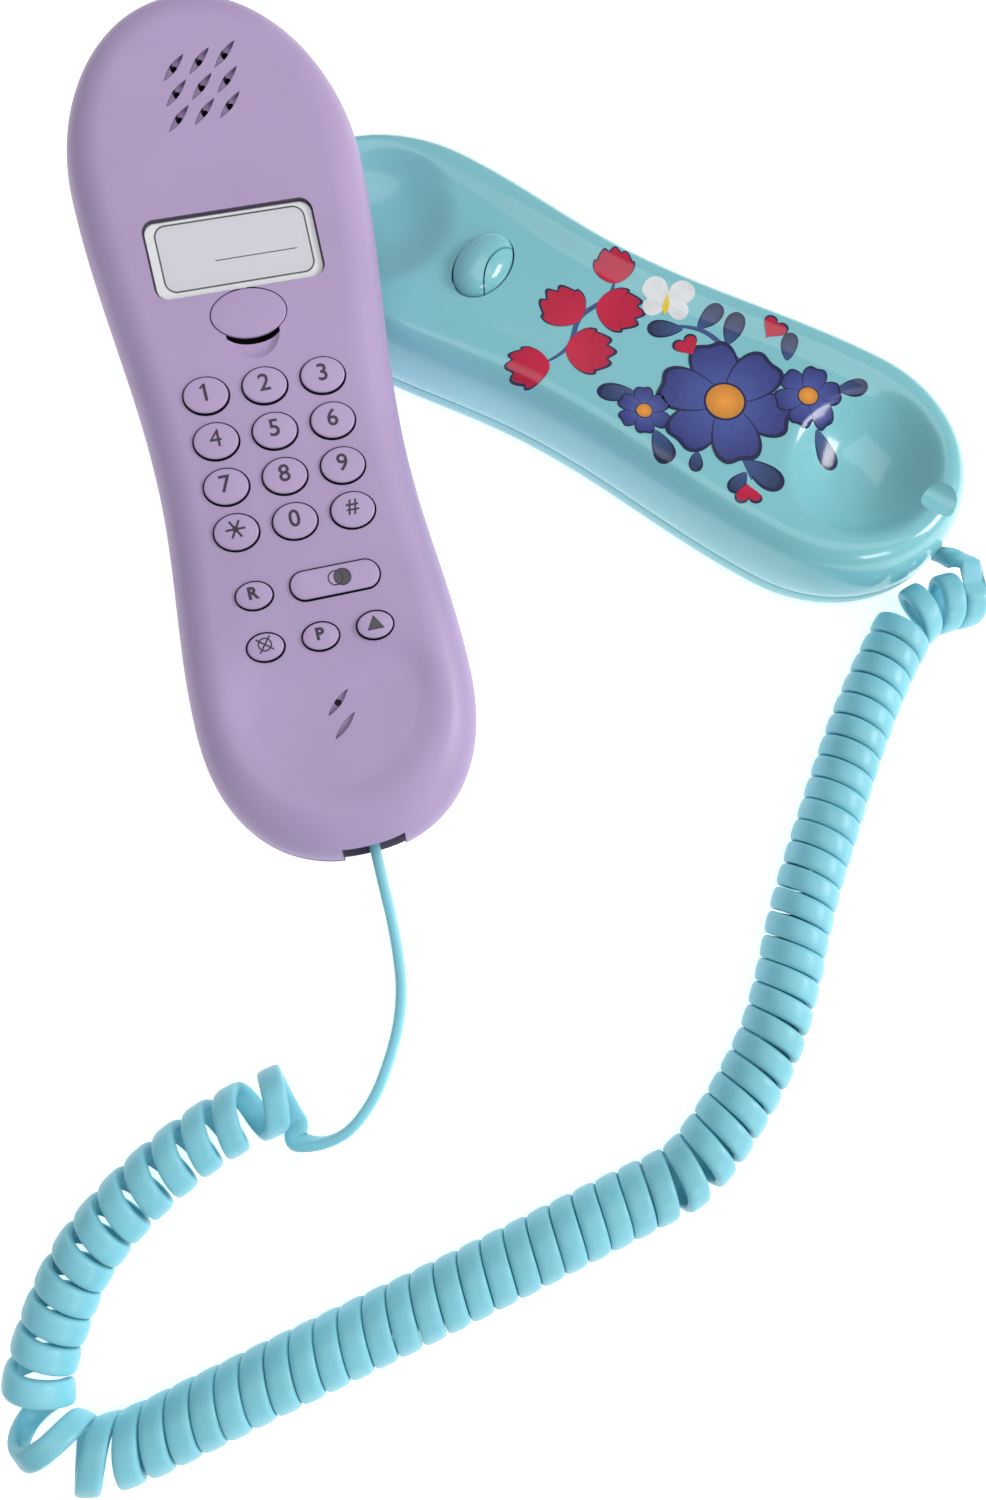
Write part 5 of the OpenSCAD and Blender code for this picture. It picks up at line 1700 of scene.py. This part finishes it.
class TELEPHONE_OT_hook_spring(bpy.types.Operator):
    """Makes the coil spring that the hook presses together"""

    bl_idname = "telephone.hook_spring"
    bl_label = "Hook spring"

    def execute(self, context):
        low, high = (Vector(corner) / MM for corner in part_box("hook_spring"))
        foot = Vector(((low.x + high.x) / 2, (low.y + high.y) / 2, low.z))
        radius = (high.x - low.x - SPRING_WIRE) / 2
        rise = high.z - low.z - SPRING_WIRE
        count = SPRING_TURNS * SPRING_STEPS
        rings = []
        for k in range(count + 1):
            a = 2 * math.pi * k / SPRING_STEPS
            out = Vector((math.cos(a), math.sin(a), 0))
            at = foot + out * radius + UP * (SPRING_WIRE / 2 + rise * ease(k / count))
            rings.append([
                at + (out * math.cos(t) + UP * math.sin(t)) * SPRING_WIRE / 2 for t in angles(8)
            ])
        spring = piece("hook_coil", closed_up(loft(rings)), "base",
                       [finish("spring_steel")], replaces=["hook_spring"])
        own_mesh(spring)
        return {"FINISHED"}


class TELEPHONE_OT_fittings(bpy.types.Operator):
    """Gives the frame's own pieces their finishes"""

    bl_idname = "telephone.fittings"
    bl_label = "Fittings"

    def execute(self, context):
        slots = {p["node"]: p["material_slot"] for p in frame["record"]["subparts"]}
        for name, made in frame["nodes"].items():
            if made.hide_render:
                continue
            look = finish(slots[name])
            made.data.materials.clear()
            made.data.materials.append(look)
            for polygon in made.data.polygons:
                polygon.material_index = 0
        return {"FINISHED"}


# ---- stage -------------------------------------------------------------------------------

CAMERA_AT = Vector((0.0569, -0.1496, 0.2462))
CAMERA_RIGHT = Vector((0.8610, 0.5086, 0.0))
CAMERA_UP = Vector((-0.4935, 0.8354, 0.2419))
# Name, place, aim, width and share of the power
LIGHTS = (
    ("ceiling_light", (0.1, 0.1, 1.4), (0.05, -0.08, 0), 1.5, 3.3),
    ("window_light", (0.95, 0.5, 0.72), (0.0, -0.05, 0), 0.6, 4.6),
    ("side_light", (0.95, -0.45, 0.5), (0.05, -0.15, 0), 0.35, 1.0),
)
SKY_TINT, SKY_STRENGTH = (0.95, 0.97, 1.0, 1), 0.35


class TELEPHONE_OT_stage(bpy.types.Operator):
    """Makes the camera, the floor and the lights"""

    bl_idname = "telephone.stage"
    bl_label = "Stage"

    def execute(self, context):
        scene = context.scene
        settings = scene.telephone_stage
        camera = bpy.data.cameras.new("camera")
        camera.sensor_fit = "HORIZONTAL"
        camera.sensor_width = 36.0
        camera.lens = settings.lens
        camera.clip_start = 0.01
        camera.clip_end = 20.0
        holder = bpy.data.objects.new("camera", camera)
        right = CAMERA_RIGHT.normalized()
        up = (CAMERA_UP - right * CAMERA_UP.dot(right)).normalized()
        turn = Matrix((right, up, right.cross(up))).transposed()
        holder.matrix_world = Matrix.Translation(CAMERA_AT) @ turn.to_4x4()
        scene.collection.objects.link(holder)
        scene.camera = holder

        floor = bmesh.new()
        bmesh.ops.create_grid(floor, x_segments=8, y_segments=8, size=3.0)
        mesh = bpy.data.meshes.new("floor")
        floor.to_mesh(mesh)
        floor.free()
        mesh.materials.append(finish("floor"))
        ground = bpy.data.objects.new("floor", mesh)
        ground.location.z = -0.0002
        scene.collection.objects.link(ground)

        for name, at, aim, reach, share in LIGHTS:
            self.soft_light(name, at, aim, reach, settings.key_power * share)
        world = bpy.data.worlds.new("studio")
        scene.world = world
        world.use_nodes = True
        sky = world.node_tree.nodes["Background"].inputs
        sky["Color"].default_value = SKY_TINT
        sky["Strength"].default_value = SKY_STRENGTH
        scene.view_settings.view_transform = "Standard"
        return {"FINISHED"}

    @staticmethod
    def soft_light(name, at, aim, reach, power):
        light = bpy.data.lights.new(name, "AREA")
        light.shape = "RECTANGLE"
        light.size = reach
        light.size_y = reach * 0.7
        light.energy = power
        holder = bpy.data.objects.new(name, light)
        turn = (Vector(aim) - Vector(at)).to_track_quat("-Z", "Y").to_matrix().to_4x4()
        holder.matrix_world = Matrix.Translation(at) @ turn
        bpy.context.scene.collection.objects.link(holder)


# ---- panel and registration --------------------------------------------------------------

OPERATORS = (
    TELEPHONE_OT_stage,
    TELEPHONE_OT_curly_cord,
    TELEPHONE_OT_cradle,
    TELEPHONE_OT_hook,
    TELEPHONE_OT_deck_print,
    TELEPHONE_OT_handset,
    TELEPHONE_OT_catch,
    TELEPHONE_OT_keys,
    TELEPHONE_OT_label,
    TELEPHONE_OT_plugs,
    TELEPHONE_OT_hook_spring,
    TELEPHONE_OT_fittings,
)
SETTINGS = {
    "telephone_cradle": CradleSizes,
    "telephone_handset": HandsetSizes,
    "telephone_keys": KeySizes,
    "telephone_cord": CordSizes,
    "telephone_print": PrintColours,
    "telephone_stage": StageSettings,
}


class TELEPHONE_PT_panel(bpy.types.Panel):
    """Lists the telephone's sizes, colours and steps"""

    bl_idname = "TELEPHONE_PT_panel"
    bl_label = "Slim telephone"
    bl_space_type = "VIEW_3D"
    bl_region_type = "UI"
    bl_category = "Telephone"

    def draw(self, context):
        for name in SETTINGS:
            box = self.layout.box()
            group = getattr(context.scene, name)
            for field in group.__annotations__:
                box.prop(group, field)
        for operator in OPERATORS:
            self.layout.operator(operator.bl_idname)


def register():
    for group in SETTINGS.values():
        bpy.utils.register_class(group)
    for cls in (*OPERATORS, TELEPHONE_PT_panel):
        bpy.utils.register_class(cls)
    for name, group in SETTINGS.items():
        setattr(bpy.types.Scene, name, PointerProperty(type=group))


def unregister():
    for name in SETTINGS:
        delattr(bpy.types.Scene, name)
    for cls in (*OPERATORS, TELEPHONE_PT_panel, *SETTINGS.values()):
        bpy.utils.unregister_class(cls)


def main():
    register()
    for operator in OPERATORS:
        family, step = operator.bl_idname.split(".")
        getattr(getattr(bpy.ops, family), step)()


if __name__ == "__main__":
    main()
